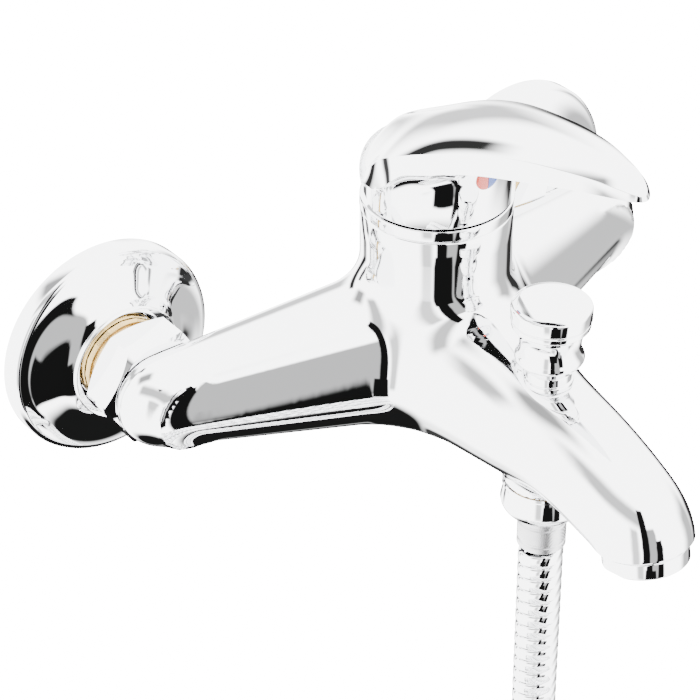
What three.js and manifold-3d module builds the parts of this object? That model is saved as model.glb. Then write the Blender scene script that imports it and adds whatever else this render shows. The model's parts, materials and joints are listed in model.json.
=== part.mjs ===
// A single-lever wall mounted bath mixer with a pull-up diverter, its shower hose, and everything
// inside it. Millimetres. The origin lies on the wall, midway between the two inlets: +X runs along
// the wall to the right, +Y goes into the wall, -Y is the front, and +Z is up.
import * as THREE from "three";
import { mergeVertices } from "three/addons/utils/BufferGeometryUtils.js";
import { LoftGeometry } from "three/addons/geometries/LoftGeometry.js";
import Module from "manifold-3d";

// Overall sizes
const inletSpacing = 150;
const towerReach = 57.3; // from the wall to the tower's axis
const towerRadius = 21.15;
const towerTop = 45.6;
const towerBottom = -14;
const spoutReach = 89.4; // from the tower's axis to the middle of the outlet
const spoutDrop = 15.4; // from the inlets' axis down to the outlet
const outletRadius = 12.4;
const outletTilt = THREE.MathUtils.degToRad(11.5);
const diverterReach = 48.7; // from the tower's axis to the diverter's axis

// Clearances
const seatGap = 0.3; // between a piece and what it rests on or screws into
const runningGap = 0.4; // between a sliding or turning piece and its guide

// Wall connections, measured from the wall forwards
const flangeRadius = 32.1;
const flangeRim = 6.1;
const flangeNeckRadius = 17.3;
const flangeDepth = 14.4;
const flangeWall = 1.2;
const stubRadius = 10.4; // G 1/2 thread into the wall fitting
const stubBore = 7.5;
const stubLength = 14;
const threadPitch = 4; // coarser than the real thread, so that its rings stay few
const eccentricity = 6; // the wall thread sits this far below the nut's axis
const unionThreadRadius = 12.6; // G 3/4 thread for the union nut
const nutAcrossFlats = 30;
const nutStart = 18.2;
const nutLength = 12;
const nutLip = 2.4;
const nutChamfer = 1.4;
const tailThreadRadius = 9.2;
const tailBore = 6.2;
const tailCollar = 1.6;
const tailReach = 7; // how far the tail screws into the casting
const washerThickness = 1.5;
const strainerRadius = 7;
const strainerLength = 9;
const threadDepth = 1.1;

// The union's pieces stack against the nut's lip, from the front back to the wall.
const nutEnd = nutStart + nutLength;
const tailCollarFront = nutEnd - nutLip - seatGap;
const tailCollarBack = tailCollarFront - tailCollar;
const washerBack = tailCollarBack - seatGap - washerThickness;
const unionThreadEnd = washerBack - seatGap;
const armFaceY = -(nutEnd + seatGap);

// Casting
const armEndRadius = 13; // half height of an arm at its elbow
const armRootRadius = 24.9; // half height that the arm's cone has on the tower's axis
const armElbowY = -36;
const armElbowX = 78.1;
const armRootHeight = 3.1;
const armElbowHeight = 0.9;
const armFlattening = 1.15; // height of an arm's section over its depth
const pocketRadius = 18.1;
const pocketFloor = 4;
const waterway = 5.4; // radius of the passages in the arms
const portRadius = 3.4;
const portDepth = -3; // height of the passages where they meet the ports
const portOffset = 9.5; // the hot and cold ports' distance from the tower's axis
const outletPortOffset = 8.5;
const mixedDepth = -7; // height of the passage from the cartridge to the diverter

// Cartridge, heights above the inlets' axis
const cartridgeRadius = 17.6;
const cartridgeShoulder = 36;
const cartridgeNeckRadius = 12;
const cartridgeNeckTop = 57;
const swivelRadius = 9.4;
const pivotHeight = 50.4; // the lever tips about this height
const stemTipDrop = 18; // from the lever's pivot down to the ball that drives the discs
const pinRadius = 1.5;
const guideOffset = 11.1; // the swivel's two guides hold the disc carrier between them
const stemWidth = 6.2;
const stemDepth = 7;
const stemTop = 20; // the stem stands this high above its pivot
const liftRange = THREE.MathUtils.degToRad(25);
const discThickness = 4.2;
const baseHeight = 4.6;

// Collar and lever
const collarHeight = 3.4;
const domeRadius = 16.6; // outside of the collar's dome, centred on the lever's pivot
const domeWall = 1.6;
const domeOpening = 12.6;
const hubRadius = 21.2;
const leverReach = 81.2; // from the tower's axis to the lever's tip
const leverTipHeight = 88;
const leverTopHeight = 75.2; // top of the lever above the tower's axis
const gripCrown = 6.4; // the grip's edge lies this far below its top, above the tower's axis

// Diverter, heights above the inlets' axis
const chamberRadius = 7;
const nippleTop = -13;
const seatBottom = 0;
const seatThickness = 3;
const seatBore = 4.8;
const galleryRadius = 5.6;
const galleryTop = 9;
const rodRadius = 2;
const valveRadius = 6.2;
const valveThickness = 3;
const valveSeal = 0.5;
const knobBottom = 18.4;
const knobHeight = 19.7;
const knobTopRadius = 10.9;
const knobWaistRadius = 8.2;
const knobFootRadius = 9.4;
const bushingRadius = 6.2;
const bushingThreadRadius = 4.6;
const spotFaceHeight = 13.9;

// Outlet to the hose
const outletThreadRadius = 10.3; // G 1/2 thread
const nippleUpperRadius = 8.3;
const bossBottom = -19;
const bossRadius = 11.2;
const nippleBottom = -24;
const nippleBore = 5.5;

// Aerator
const aeratorRadius = 11.8;
const aeratorHeight = 5.6;
const aeratorThreadRadius = 10.2;
const aeratorThreadLength = 6.5;

// Shower hose
const hoseRadius = 6.4;
const hoseNutRadius = 11.9;
const hoseNutHeight = 10.6;
const ferruleRadius = 6.9;
const ferruleLength = 11;
const spigotRadius = 3.9;
const spigotFlange = 0.8;
const nutFootThickness = 2.9;
const coilRadius = 72; // to the middle of a turn
const coilTurns = 2.5;
const coilPitch = 13.4;
const coilCentreX = -35;
const coilCentreZ = -172;
const tailLength = 41;
const tieHalfWidth = 4;
const tieBand = 1.2;
const tieClearance = 0.9;

const wasm = await Module();
wasm.setup();

// Materials
const finish = (color, roughness, metalness) => ({ color, roughness, metalness });
const finishes = {
  chrome: finish(0xd9dce0, 0.06, 1),
  brass: finish(0xb5924c, 0.35, 1),
  steel: finish(0xb9bcc0, 0.3, 1),
  ceramic: finish(0xe9e6df, 0.35, 0),
  acetal: finish(0xdcdcd6, 0.5, 0),
  greyPlastic: finish(0x8c9094, 0.55, 0),
  rubber: finish(0x1c1c1d, 0.8, 0),
  redPlastic: finish(0xb2382e, 0.3, 0),
  bluePlastic: finish(0x2d5ea8, 0.3, 0),
  strap: finish(0x26272a, 0.75, 0),
};

function piece(name, geometry, finishName, parent) {
  const mesh = new THREE.Mesh(geometry, new THREE.MeshStandardMaterial(finishes[finishName]));
  mesh.name = name;
  parent.add(mesh);
  return mesh;
}

function groupAt(x, y, z, parent) {
  const group = new THREE.Group();
  group.position.set(x, y, z);
  parent.add(group);
  return group;
}

// Solids for cutting and joining
function toSolid(geometry) {
  const bare = new THREE.BufferGeometry();
  bare.setAttribute("position", geometry.getAttribute("position"));
  bare.setIndex(geometry.index);
  const merged = mergeVertices(bare, 1e-4);
  return new wasm.Manifold(
    new wasm.Mesh({
      numProp: 3,
      vertProperties: merged.attributes.position.array,
      triVerts: new Uint32Array(merged.index.array),
    }),
  );
}

function toGeometry(solid) {
  const mesh = solid.getMesh();
  const geometry = new THREE.BufferGeometry();
  geometry.setAttribute("position", new THREE.BufferAttribute(mesh.vertProperties, 3));
  geometry.setIndex(new THREE.BufferAttribute(mesh.triVerts, 1));
  geometry.computeVertexNormals();
  return geometry;
}

function join(first, ...others) {
  return toGeometry(others.reduce((sum, other) => sum.add(toSolid(other)), toSolid(first)));
}

function cut(first, ...others) {
  return toGeometry(others.reduce((rest, other) => rest.subtract(toSolid(other)), toSolid(first)));
}

function common(first, second) {
  return toGeometry(toSolid(first).intersect(toSolid(second)));
}

// Turned shapes about +Z. A profile lists [radius, height] points, anticlockwise round its area.
function turned(profile, segments = 20) {
  const points = profile.map(([radius, height]) => new THREE.Vector2(radius, height));
  return new THREE.LatheGeometry(points, segments).rotateX(Math.PI / 2);
}

function rod(radius, low, high, segments = 16) {
  return turned([[0, low], [radius, low], [radius, high], [0, high]], segments);
}

function tube(inner, outer, low, high, segments = 18) {
  return turned([[inner, low], [outer, low], [outer, high], [inner, high], [inner, low]], segments);
}

// A thread stands as rings of its own pitch between its root and its crest.
function threadProfile(crest, depth, low, high, pitch) {
  const turns = Math.floor((high - low) / pitch);
  const points = [];
  for (let turn = 0; turn < turns; turn++) {
    const start = low + turn * pitch;
    points.push([crest - depth, start], [crest, start + pitch / 2]);
  }
  points.push([crest - depth, low + turns * pitch], [crest - depth, high]);
  return points;
}

function sphereAt(radius, x, y, z, segments = 24) {
  return new THREE.SphereGeometry(radius, segments, segments / 2).translate(x, y, z);
}

function boxBetween(low, high) {
  const size = high.map((value, axis) => value - low[axis]);
  return new THREE.BoxGeometry(...size).translate(...high.map((value, axis) => value - size[axis] / 2));
}

function hexagon(acrossFlats, low, high) {
  const radius = acrossFlats / Math.sqrt(3);
  const height = high - low;
  const prism = new THREE.CylinderGeometry(radius, radius, height, 6);
  return prism.rotateX(Math.PI / 2).rotateZ(Math.PI / 6).translate(0, 0, low + height / 2);
}

// A straight round bar between two points
function barBetween(start, end, radius, segments = 16) {
  const along = new THREE.Vector3().subVectors(end, start);
  const bar = new THREE.CylinderGeometry(radius, radius, along.length(), segments);
  const turn = new THREE.Quaternion().setFromUnitVectors(
    new THREE.Vector3(0, 1, 0),
    along.clone().normalize(),
  );
  const middle = new THREE.Vector3().addVectors(start, end).multiplyScalar(0.5);
  return bar.applyQuaternion(turn).translate(middle.x, middle.y, middle.z);
}

function roundShape(radius, sides) {
  const corners = Array.from({ length: sides }, (_, index) => {
    const angle = (index / sides) * 2 * Math.PI;
    return new THREE.Vector2(radius * Math.cos(angle), radius * Math.sin(angle));
  });
  return new THREE.Shape(corners);
}

function sweptTube(curve, radius, sides, steps) {
  const settings = { steps, extrudePath: curve, bevelEnabled: false };
  return new THREE.ExtrudeGeometry(roundShape(radius, sides), settings);
}

class Helix extends THREE.Curve {
  constructor(radius, low, high, turns) {
    super();
    Object.assign(this, { radius, low, high, turns });
  }

  getPoint(t, target = new THREE.Vector3()) {
    const angle = 2 * Math.PI * this.turns * t;
    const height = this.low + (this.high - this.low) * t;
    return target.set(this.radius * Math.cos(angle), this.radius * Math.sin(angle), height);
  }
}

function spring(coilMiddle, wireRadius, low, high, turns) {
  const helix = new Helix(coilMiddle, low + wireRadius, high - wireRadius, turns);
  return sweptTube(helix, wireRadius, 5, turns * 8);
}

// The casting

// An arm's round cone: its section at a distance x from the middle
function armSection(x) {
  const share = Math.min(Math.abs(x) / armElbowX, 1);
  const past = Math.max(Math.abs(x) - armElbowX, 0);
  const straight = THREE.MathUtils.lerp(armRootRadius, armEndRadius, share);
  const radius = past > 0 ? Math.sqrt(Math.max(armEndRadius ** 2 - past ** 2, 0.2)) : straight;
  const middle = new THREE.Vector3(
    x,
    THREE.MathUtils.lerp(-towerReach, armElbowY, share),
    THREE.MathUtils.lerp(armRootHeight, armElbowHeight, share),
  );
  const depth = new THREE.Vector3(0, radius / armFlattening, 0);
  return ellipseSection(middle, depth, new THREE.Vector3(0, 0, radius));
}

function ellipseSection(middle, across, upright, points = 24) {
  return Array.from({ length: points }, (_, index) => {
    const angle = (index / points) * 2 * Math.PI;
    return middle
      .clone()
      .addScaledVector(across, Math.cos(angle))
      .addScaledVector(upright, Math.sin(angle));
  });
}

function armsShape() {
  const dome = [0.3, 0.55, 0.75, 0.9, 0.99].map((share) => armElbowX + share * armEndRadius);
  const half = [0.25, 0.5, 0.75, 1].map((share) => share * armElbowX).concat(dome);
  const places = [...half.map((x) => -x).reverse(), 0, ...half];
  return new LoftGeometry(places.map(armSection), { capStart: true, capEnd: true });
}

// The spout's stations: share of its reach, share of its drop, downward slope, half height, half width
const spoutStations = [
  [0, 0, 0, 20, 20],
  [0.25, -0.05, 2, 20.9, 21.8],
  [0.47, 0.1, 5, 17.4, 18.3],
  [0.67, 0.175, 10, 15.1, 15.9],
  [0.8, 0.31, 20, 14.3, 14.9],
  [0.89, 0.5, 35, 13.9, 14.5],
  [0.95, 0.68, 52, 13.5, 14],
  [0.985, 0.84, 67, 13, 13.4],
];

function spoutShape() {
  const sections = spoutStations.map(([reach, drop, degrees, height, width]) => {
    const slope = THREE.MathUtils.degToRad(degrees);
    return spoutSection(reach * spoutReach, -drop * spoutDrop, slope, height, width);
  });
  sections.push(spoutSection(spoutReach, -spoutDrop, Math.PI / 2 - outletTilt, outletRadius, outletRadius));
  return new LoftGeometry(sections, { capStart: true, capEnd: true });
}

function spoutSection(reach, height, slope, halfHeight, halfWidth) {
  const middle = new THREE.Vector3(0, -towerReach - reach, height);
  const upright = new THREE.Vector3(0, -Math.sin(slope), Math.cos(slope)).multiplyScalar(halfHeight);
  return ellipseSection(middle, new THREE.Vector3(halfWidth, 0, 0), upright);
}

// Places the outlet's own frame: +Z out of the spout's end, back up the water's way
function toOutlet(geometry) {
  return geometry.rotateX(-outletTilt).translate(0, -towerReach - spoutReach, -spoutDrop);
}

function inletWaterway(side) {
  const inletX = (side * inletSpacing) / 2;
  const socketEnd = armFaceY - tailReach - 1;
  const mouth = new THREE.Vector3(inletX, armFaceY + 2, 0);
  const socket = new THREE.Vector3(inletX, socketEnd, 0);
  const elbow = new THREE.Vector3(inletX, socketEnd - 2.5, 0.5);
  const port = new THREE.Vector3(side * portOffset, -towerReach, portDepth);
  return [
    barBetween(mouth, socket, tailThreadRadius + seatGap, 20),
    barBetween(socket.clone().setY(socketEnd + 1), elbow, waterway, 12),
    sphereAt(waterway, elbow.x, elbow.y, elbow.z, 12),
    barBetween(elbow, port, waterway - 0.4, 12),
    rod(portRadius, portDepth, pocketFloor + 1, 12).translate(port.x, port.y, 0),
  ];
}

function spoutWaterway() {
  const portY = -towerReach - outletPortOffset;
  const diverterY = -towerReach - diverterReach;
  const galleryMiddle = (seatBottom + seatThickness + galleryTop) / 2;
  const mixedStart = new THREE.Vector3(0, portY + 2, mixedDepth);
  const mixedEnd = new THREE.Vector3(0, diverterY + 2, mixedDepth);
  const curve = new THREE.CatmullRomCurve3([
    new THREE.Vector3(0, diverterY - 1, galleryMiddle),
    new THREE.Vector3(0, diverterY - 13, galleryMiddle - 1.5),
    new THREE.Vector3(0, diverterY - 27, -1),
    new THREE.Vector3(0, -towerReach - spoutReach + 3, -spoutDrop + 7),
  ]);
  return [
    rod(portRadius, mixedDepth, pocketFloor + 1, 12).translate(0, portY, 0),
    barBetween(mixedStart, mixedEnd, 4.4, 12),
    sweptTube(curve, 3.8, 10, 8),
    rod(chamberRadius + seatGap, nippleTop, seatBottom + seatThickness + seatGap).translate(0, diverterY, 0),
    rod(nippleUpperRadius + seatGap, bossBottom - 2, nippleTop).translate(0, diverterY, 0),
    rod(galleryRadius, seatBottom + seatThickness, galleryTop).translate(0, diverterY, 0),
    rod(bushingThreadRadius + seatGap, galleryTop - 1, spotFaceHeight + 4).translate(0, diverterY, 0),
    rod(bushingRadius + 0.8, spotFaceHeight, spotFaceHeight + 6).translate(0, diverterY, 0),
    toOutlet(rod(aeratorThreadRadius + seatGap, -2, aeratorThreadLength + 1.5)),
  ];
}

function bodyCasting() {
  const profile = [
    [0, towerBottom],
    [towerRadius - 5, towerBottom],
    [towerRadius, towerBottom + 6],
    [towerRadius, towerTop - 0.6],
    [towerRadius - 0.6, towerTop],
    [0, towerTop],
  ];
  const tower = turned(profile, 32).translate(0, -towerReach, 0);
  const boss = rod(bossRadius, bossBottom, 0).translate(0, -towerReach - diverterReach, 0);
  const outside = join(tower, armsShape(), spoutShape(), boss);
  const spaceForNuts = boxBetween([-inletSpacing, armFaceY, -40], [inletSpacing, 20, 40]);
  const pocket = rod(pocketRadius, pocketFloor, towerTop + 1, 32).translate(0, -towerReach, 0);
  return cut(outside, spaceForNuts, pocket, ...inletWaterway(-1), ...inletWaterway(1), ...spoutWaterway());
}

// Wall connections, in a group whose +Z runs from the wall to the front

function crankSection(height, radius, shift) {
  const middle = new THREE.Vector3(0, shift, height);
  return ellipseSection(middle, new THREE.Vector3(radius, 0, 0), new THREE.Vector3(0, radius, 0), 16);
}

function eccentricUnion() {
  const low = -stubLength;
  const crankLow = -2;
  const crankHigh = 11;
  const stubThread = threadProfile(stubRadius, threadDepth, low, crankLow, threadPitch);
  const stubEnd = crankLow + 1;
  const stub = turned([[0, low], ...stubThread, [stubRadius - threadDepth, stubEnd], [0, stubEnd]], 16);
  const crank = new LoftGeometry(
    [
      crankSection(crankLow, stubRadius, -eccentricity),
      crankSection(crankLow + 4, stubRadius + 1, -eccentricity),
      crankSection(crankHigh - 2, unionThreadRadius, 0),
      crankSection(crankHigh + 1, unionThreadRadius, 0),
    ],
    { capStart: true, capEnd: true },
  );
  const unionThread = threadProfile(unionThreadRadius, threadDepth, crankHigh, unionThreadEnd, threadPitch);
  const thread = turned([[0, crankHigh], ...unionThread, [0, unionThreadEnd]], 16);
  const bore = join(
    rod(stubBore, low - 1, 4).translate(0, -eccentricity, 0),
    barBetween(new THREE.Vector3(0, -eccentricity, 3), new THREE.Vector3(0, 0, 10), stubBore - 0.3),
    rod(stubBore, 9, unionThreadEnd + 1),
  );
  return cut(join(stub.translate(0, -eccentricity, 0), crank, thread), bore);
}

function wallFlange() {
  const inner = unionThreadRadius + seatGap;
  const outside = [
    [flangeRadius, 0],
    [flangeRadius, flangeRim],
    [flangeRadius - 4.6, flangeRim + 2],
    [flangeRadius - 9, flangeRim + 4.6],
    [flangeNeckRadius + 1.2, flangeDepth - 1.6],
    [flangeNeckRadius, flangeDepth - 1.2],
    [flangeNeckRadius, flangeDepth],
  ];
  const inside = [
    [inner, flangeDepth],
    [inner, flangeDepth - 2.4],
    [flangeNeckRadius - flangeWall, flangeDepth - 3],
    [flangeRadius - 9 - flangeWall, flangeRim + 4.6 - flangeWall],
    [flangeRadius - 4.6 - flangeWall, flangeRim + 2 - flangeWall],
    [flangeRadius - flangeWall, flangeRim - flangeWall],
    [flangeRadius - flangeWall, 0],
  ];
  return turned([...outside, ...inside, outside[0]], 28);
}

function unionNut() {
  const body = hexagon(nutAcrossFlats, nutStart, nutEnd);
  const corner = nutAcrossFlats / Math.sqrt(3);
  const flat = nutAcrossFlats / 2 - 0.2;
  const chamfers = turned([
    [0, nutStart],
    [flat, nutStart],
    [corner, nutStart + nutChamfer],
    [corner, nutEnd - nutChamfer],
    [flat, nutEnd],
    [0, nutEnd],
  ], 36);
  const bore = rod(unionThreadRadius + seatGap, nutStart - 1, nutEnd - nutLip);
  const mouth = rod(tailThreadRadius + 0.6, nutEnd - nutLip - 1, nutEnd + 1);
  return cut(common(body, chamfers), bore, mouth);
}

function unionTail() {
  const end = nutEnd + tailReach;
  return turned([
    [tailBore, tailCollarBack],
    [unionThreadRadius - 0.6, tailCollarBack],
    [unionThreadRadius - 0.6, tailCollarFront],
    [tailThreadRadius, tailCollarFront],
    [tailThreadRadius, end],
    [tailBore, end],
    [tailBore, tailCollarBack],
  ]);
}

function inletWasher() {
  return tube(tailBore + 0.5, unionThreadRadius - 1, washerBack, washerBack + washerThickness);
}

function inletStrainer() {
  const mouth = unionThreadEnd - 1;
  const floor = mouth - strainerLength;
  const cup = turned([
    [0, floor],
    [strainerRadius - 1, floor],
    [strainerRadius, mouth],
    [strainerRadius - 0.8, mouth],
    [strainerRadius - 1.8, floor + 0.8],
    [0, floor + 0.8],
  ]);
  const slots = [0, 1, 2, 3].map((index) =>
    boxBetween([-0.8, 1.6, floor - 1], [0.8, strainerRadius + 1, mouth - 2]).rotateZ((index * Math.PI) / 2),
  );
  return cut(cup, ...slots);
}

function addInlet(side, sideName, parent) {
  const group = groupAt((side * inletSpacing) / 2, 0, 0, parent);
  group.rotation.x = Math.PI / 2;
  piece(`eccentric_union_${sideName}`, eccentricUnion(), "brass", group);
  piece(`wall_flange_${sideName}`, wallFlange(), "chrome", group);
  piece(`union_nut_${sideName}`, unionNut(), "chrome", group);
  piece(`union_tail_${sideName}`, unionTail(), "brass", group);
  piece(`inlet_washer_${sideName}`, inletWasher(), "rubber", group);
  piece(`inlet_strainer_${sideName}`, inletStrainer(), "steel", group);
}

// Cartridge, in a group on the tower's axis

const baseBottom = pocketFloor + seatGap + 0.8;
const baseTop = baseBottom + baseHeight;
const fixedDiscBottom = baseTop + seatGap;
const movingDiscBottom = fixedDiscBottom + discThickness + seatGap;
const carrierBottom = movingDiscBottom + discThickness + seatGap;
const swivelFlangeBottom = cartridgeShoulder - 5;
const carrierTop = swivelFlangeBottom - seatGap;
const housingWall = 2.3;
const discOffset = stemTipDrop * Math.sin(liftRange / 2);

function cartridgePorts(low, high, radius) {
  return [
    rod(radius, low, high, 16).translate(-portOffset, 0, 0),
    rod(radius, low, high, 16).translate(portOffset, 0, 0),
    rod(radius, low, high, 16).translate(0, -outletPortOffset, 0),
  ];
}

function cartridgeHousing() {
  const inner = cartridgeRadius - housingWall;
  const top = cartridgeNeckTop;
  return turned([
    [inner, fixedDiscBottom - 0.1],
    [cartridgeRadius, fixedDiscBottom - 0.1],
    [cartridgeRadius, cartridgeShoulder],
    [cartridgeNeckRadius, cartridgeShoulder],
    [cartridgeNeckRadius, top],
    [swivelRadius + runningGap, top],
    [swivelRadius + runningGap, cartridgeShoulder - housingWall],
    [inner, cartridgeShoulder - housingWall],
    [inner, fixedDiscBottom - 0.1],
  ]);
}

function cartridgeBase() {
  const base = rod(cartridgeRadius - 0.2, baseBottom, baseTop, 32);
  return cut(base, ...cartridgePorts(baseBottom - 1, baseTop + 1, portRadius - 0.2));
}

function baseSeal() {
  return tube(portRadius, portRadius + 0.9, pocketFloor + 0.1, baseBottom - 0.1, 20);
}

function fixedDisc() {
  const top = fixedDiscBottom + discThickness;
  const disc = rod(cartridgeRadius - housingWall - seatGap, fixedDiscBottom, top, 32);
  return cut(disc, ...cartridgePorts(fixedDiscBottom - 1, top + 1, portRadius - 0.6));
}

function movingDisc() {
  const disc = rod(10, movingDiscBottom, movingDiscBottom + discThickness, 28);
  const chamber = rod(5.6, movingDiscBottom - 1, movingDiscBottom + 2.2, 20).translate(0, -1.5, 0);
  return cut(disc, chamber).translate(0, discOffset, 0);
}

function discCarrier() {
  const round = rod(10, carrierBottom, carrierTop, 28);
  const sides = boxBetween([-9.2, -11, carrierBottom - 1], [9.2, 11, carrierTop + 1]);
  const socket = rod(3.3, carrierTop - 5, carrierTop + 1, 20);
  return cut(common(round, sides), socket).translate(0, discOffset, 0);
}

function cartridgeSwivel() {
  const flangeTop = cartridgeShoulder - housingWall - runningGap;
  const neck = rod(swivelRadius, flangeTop - 1, cartridgeNeckTop - 0.5, 28);
  const flange = rod(cartridgeRadius - housingWall - runningGap, swivelFlangeBottom, flangeTop, 32);
  const guides = [-guideOffset, guideOffset].map((x) =>
    boxBetween([-1.5, -5.5, carrierBottom + 1], [1.5, 5.5, swivelFlangeBottom + 1]).translate(x, 0, 0),
  );
  const slotWidth = stemWidth / 2 + runningGap;
  const slot = boxBetween([-slotWidth, -8, swivelFlangeBottom - 1], [slotWidth, 8, cartridgeNeckTop + 1]);
  const pinHole = rod(pinRadius + 0.1, -30, 30, 12).rotateY(Math.PI / 2).translate(0, 0, pivotHeight);
  return cut(join(neck, flange, ...guides), slot, pinHole);
}

function stemPin() {
  const half = swivelRadius - runningGap;
  return rod(pinRadius, -half, half, 12).rotateY(Math.PI / 2).translate(0, 0, pivotHeight);
}

// The stem leans by half the lift, so that it is upright halfway. Its frame starts at the pivot.
function cartridgeStem() {
  const shank = boxBetween([-stemWidth / 2, -stemDepth / 2, -8], [stemWidth / 2, stemDepth / 2, stemTop]);
  const neck = boxBetween([-stemWidth / 2, -2.6, -stemTipDrop + 1], [stemWidth / 2, 2.6, -7]);
  const waist = rod(2, -stemTipDrop, -stemTipDrop + 4, 16);
  const tip = sphereAt(2.8, 0, 0, -stemTipDrop, 20);
  const pinHole = rod(pinRadius + 0.05, -10, 10, 12).rotateY(Math.PI / 2);
  return cut(join(shank, neck, waist, tip), pinHole);
}

function cartridgeNut() {
  const bottom = cartridgeShoulder + seatGap;
  const top = bottom + 7;
  const ring = tube(cartridgeNeckRadius + 0.5, pocketRadius - 0.4, bottom, top, 36);
  const hex = hexagon(27, bottom + 3, top + 1);
  return cut(ring, hex);
}

function addCartridge(tower) {
  piece("cartridge_base", cartridgeBase(), "acetal", tower);
  piece("base_seal_hot", baseSeal(), "rubber", tower).position.x = -portOffset;
  piece("base_seal_cold", baseSeal(), "rubber", tower).position.x = portOffset;
  piece("base_seal_mixed", baseSeal(), "rubber", tower).position.y = -outletPortOffset;
  piece("cartridge_housing", cartridgeHousing(), "acetal", tower);
  piece("fixed_disc", fixedDisc(), "ceramic", tower);
  piece("moving_disc", movingDisc(), "ceramic", tower);
  piece("disc_carrier", discCarrier(), "greyPlastic", tower);
  piece("cartridge_swivel", cartridgeSwivel(), "greyPlastic", tower);
  piece("stem_pin", stemPin(), "steel", tower);
  const stem = piece("cartridge_stem", cartridgeStem(), "brass", tower);
  stem.position.z = pivotHeight;
  stem.rotation.x = liftRange / 2;
  piece("cartridge_nut", cartridgeNut(), "brass", tower);
}

// Collar and lever

const collarTop = towerTop + seatGap + collarHeight;
const hubBottom = collarTop + 0.6;

function arcPoints(radius, middleHeight, fromAngle, toAngle, steps) {
  return Array.from({ length: steps + 1 }, (_, index) => {
    const angle = THREE.MathUtils.lerp(fromAngle, toAngle, index / steps);
    return [radius * Math.cos(angle), middleHeight + radius * Math.sin(angle)];
  });
}

const domeFoot = 2.2; // the dome's foot stands out under the collar
const domeFootHeight = 1;

function collarCap() {
  const collarBottom = towerTop + seatGap;
  const recessRadius = domeRadius + domeFoot + seatGap;
  const recessTop = collarBottom + domeFootHeight + seatGap;
  return turned([
    [domeRadius + seatGap, recessTop],
    [recessRadius, recessTop],
    [recessRadius, collarBottom],
    [towerRadius - 0.3, collarBottom],
    [towerRadius + 0.1, collarBottom + 0.4],
    [towerRadius + 0.1, collarTop - 0.5],
    [towerRadius - 0.4, collarTop],
    [domeRadius + seatGap, collarTop],
    [domeRadius + seatGap, recessTop],
  ], 28);
}

function cartridgeDome() {
  const footBottom = towerTop + seatGap;
  const footTop = footBottom + domeFootHeight;
  const inner = domeRadius - domeWall;
  const low = Math.asin((footTop - pivotHeight) / domeRadius);
  const outerEnd = Math.acos(domeOpening / domeRadius);
  const innerEnd = Math.acos(domeOpening / inner);
  return turned([
    [inner, footBottom],
    [domeRadius + domeFoot, footBottom],
    [domeRadius + domeFoot, footTop],
    ...arcPoints(domeRadius, pivotHeight, low, outerEnd, 5),
    ...arcPoints(inner, pivotHeight, innerEnd, 0, 3),
    [inner, footBottom],
  ], 28);
}

// The grip's stations: share of its reach, half width, share of its rise, crown over the edge, depth below
const gripStations = [
  [-0.25, 6, -0.44, 2, 4],
  [-0.227, 10.5, -0.32, 3.2, 6],
  [-0.13, 18.4, -0.15, 5.6, 9],
  [0, 21.2, 0, 6.4, 9],
  [0.107, 21.8, 0.19, 6.5, 7.5],
  [0.206, 20.8, 0.365, 6.2, 5.8],
  [0.286, 19.2, 0.5, 5.7, 5.4],
  [0.415, 16.2, 0.69, 4.8, 5.2],
  [0.563, 13.2, 0.854, 3.9, 4.7],
  [0.717, 10.2, 0.963, 3, 3.8],
  [0.846, 7, 1, 2.1, 2.8],
  [0.938, 4.2, 0.98, 1.3, 2],
  [0.988, 1.8, 0.94, 0.7, 1.3],
];

function gripSection([share, halfWidth, rise, crown, depth]) {
  const edgeHeight = THREE.MathUtils.lerp(leverTopHeight - gripCrown, leverTipHeight, rise);
  const points = 20;
  return Array.from({ length: points }, (_, index) => {
    const angle = (index / points) * 2 * Math.PI;
    const height = edgeHeight + (Math.sin(angle) > 0 ? crown : depth) * Math.sin(angle);
    return new THREE.Vector3(halfWidth * Math.cos(angle), -share * leverReach, height);
  });
}

function leverHandle() {
  const grip = new LoftGeometry(gripStations.map(gripSection), { capStart: true, capEnd: true });
  const hub = turned([
    [0, hubBottom],
    [hubRadius - 0.4, hubBottom],
    [hubRadius, hubBottom + 0.5],
    [hubRadius + 0.3, leverTopHeight - 15],
    [hubRadius - 4, leverTopHeight - 9.7],
    [0, leverTopHeight - 6.2],
  ], 28);
  const cavity = join(
    sphereAt(domeRadius + 1, 0, 0, pivotHeight, 20),
    rod(domeRadius + 1, hubBottom - 5, pivotHeight, 20),
  );
  const clearance = THREE.MathUtils.degToRad(1.5);
  const backRelief = boxBetween([-30, 0, -30], [30, 40, 0])
    .rotateX(liftRange + clearance)
    .translate(0, 0, pivotHeight - 0.4);
  const socket = boxBetween(
    [-stemWidth / 2 - seatGap, -stemDepth / 2 - seatGap, 0],
    [stemWidth / 2 + seatGap, stemDepth / 2 + seatGap, stemTop + seatGap],
  )
    .rotateX(liftRange / 2)
    .translate(0, 0, pivotHeight);
  return cut(join(grip, hub), cavity, backRelief, socket, plugHole(), screwHole());
}

// The screw's axis crosses the stem at this height over the pivot, square to the hub's front.
const screwHeight = 13.4;
const screwRadius = 2.5;
const plugRadius = 3.9;
const plugDepth = 1.8;

function alongScrew(geometry) {
  return geometry.rotateX(Math.PI / 2).translate(0, 0, pivotHeight + screwHeight);
}

function plugHole() {
  return alongScrew(rod(plugRadius + seatGap, hubRadius - plugDepth, hubRadius + 8, 24));
}

function screwHole() {
  return alongScrew(rod(screwRadius + seatGap, 3, hubRadius, 16));
}

function handleSetScrew() {
  const lean = liftRange / 2;
  const stemFace = (screwHeight + screwRadius) * Math.tan(lean) + stemDepth / 2 / Math.cos(lean);
  const start = stemFace + seatGap;
  const screw = rod(screwRadius, start, start + 6, 16);
  const key = hexagon(screwRadius, start + 3, start + 7);
  return alongScrew(cut(screw, key));
}

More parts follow.
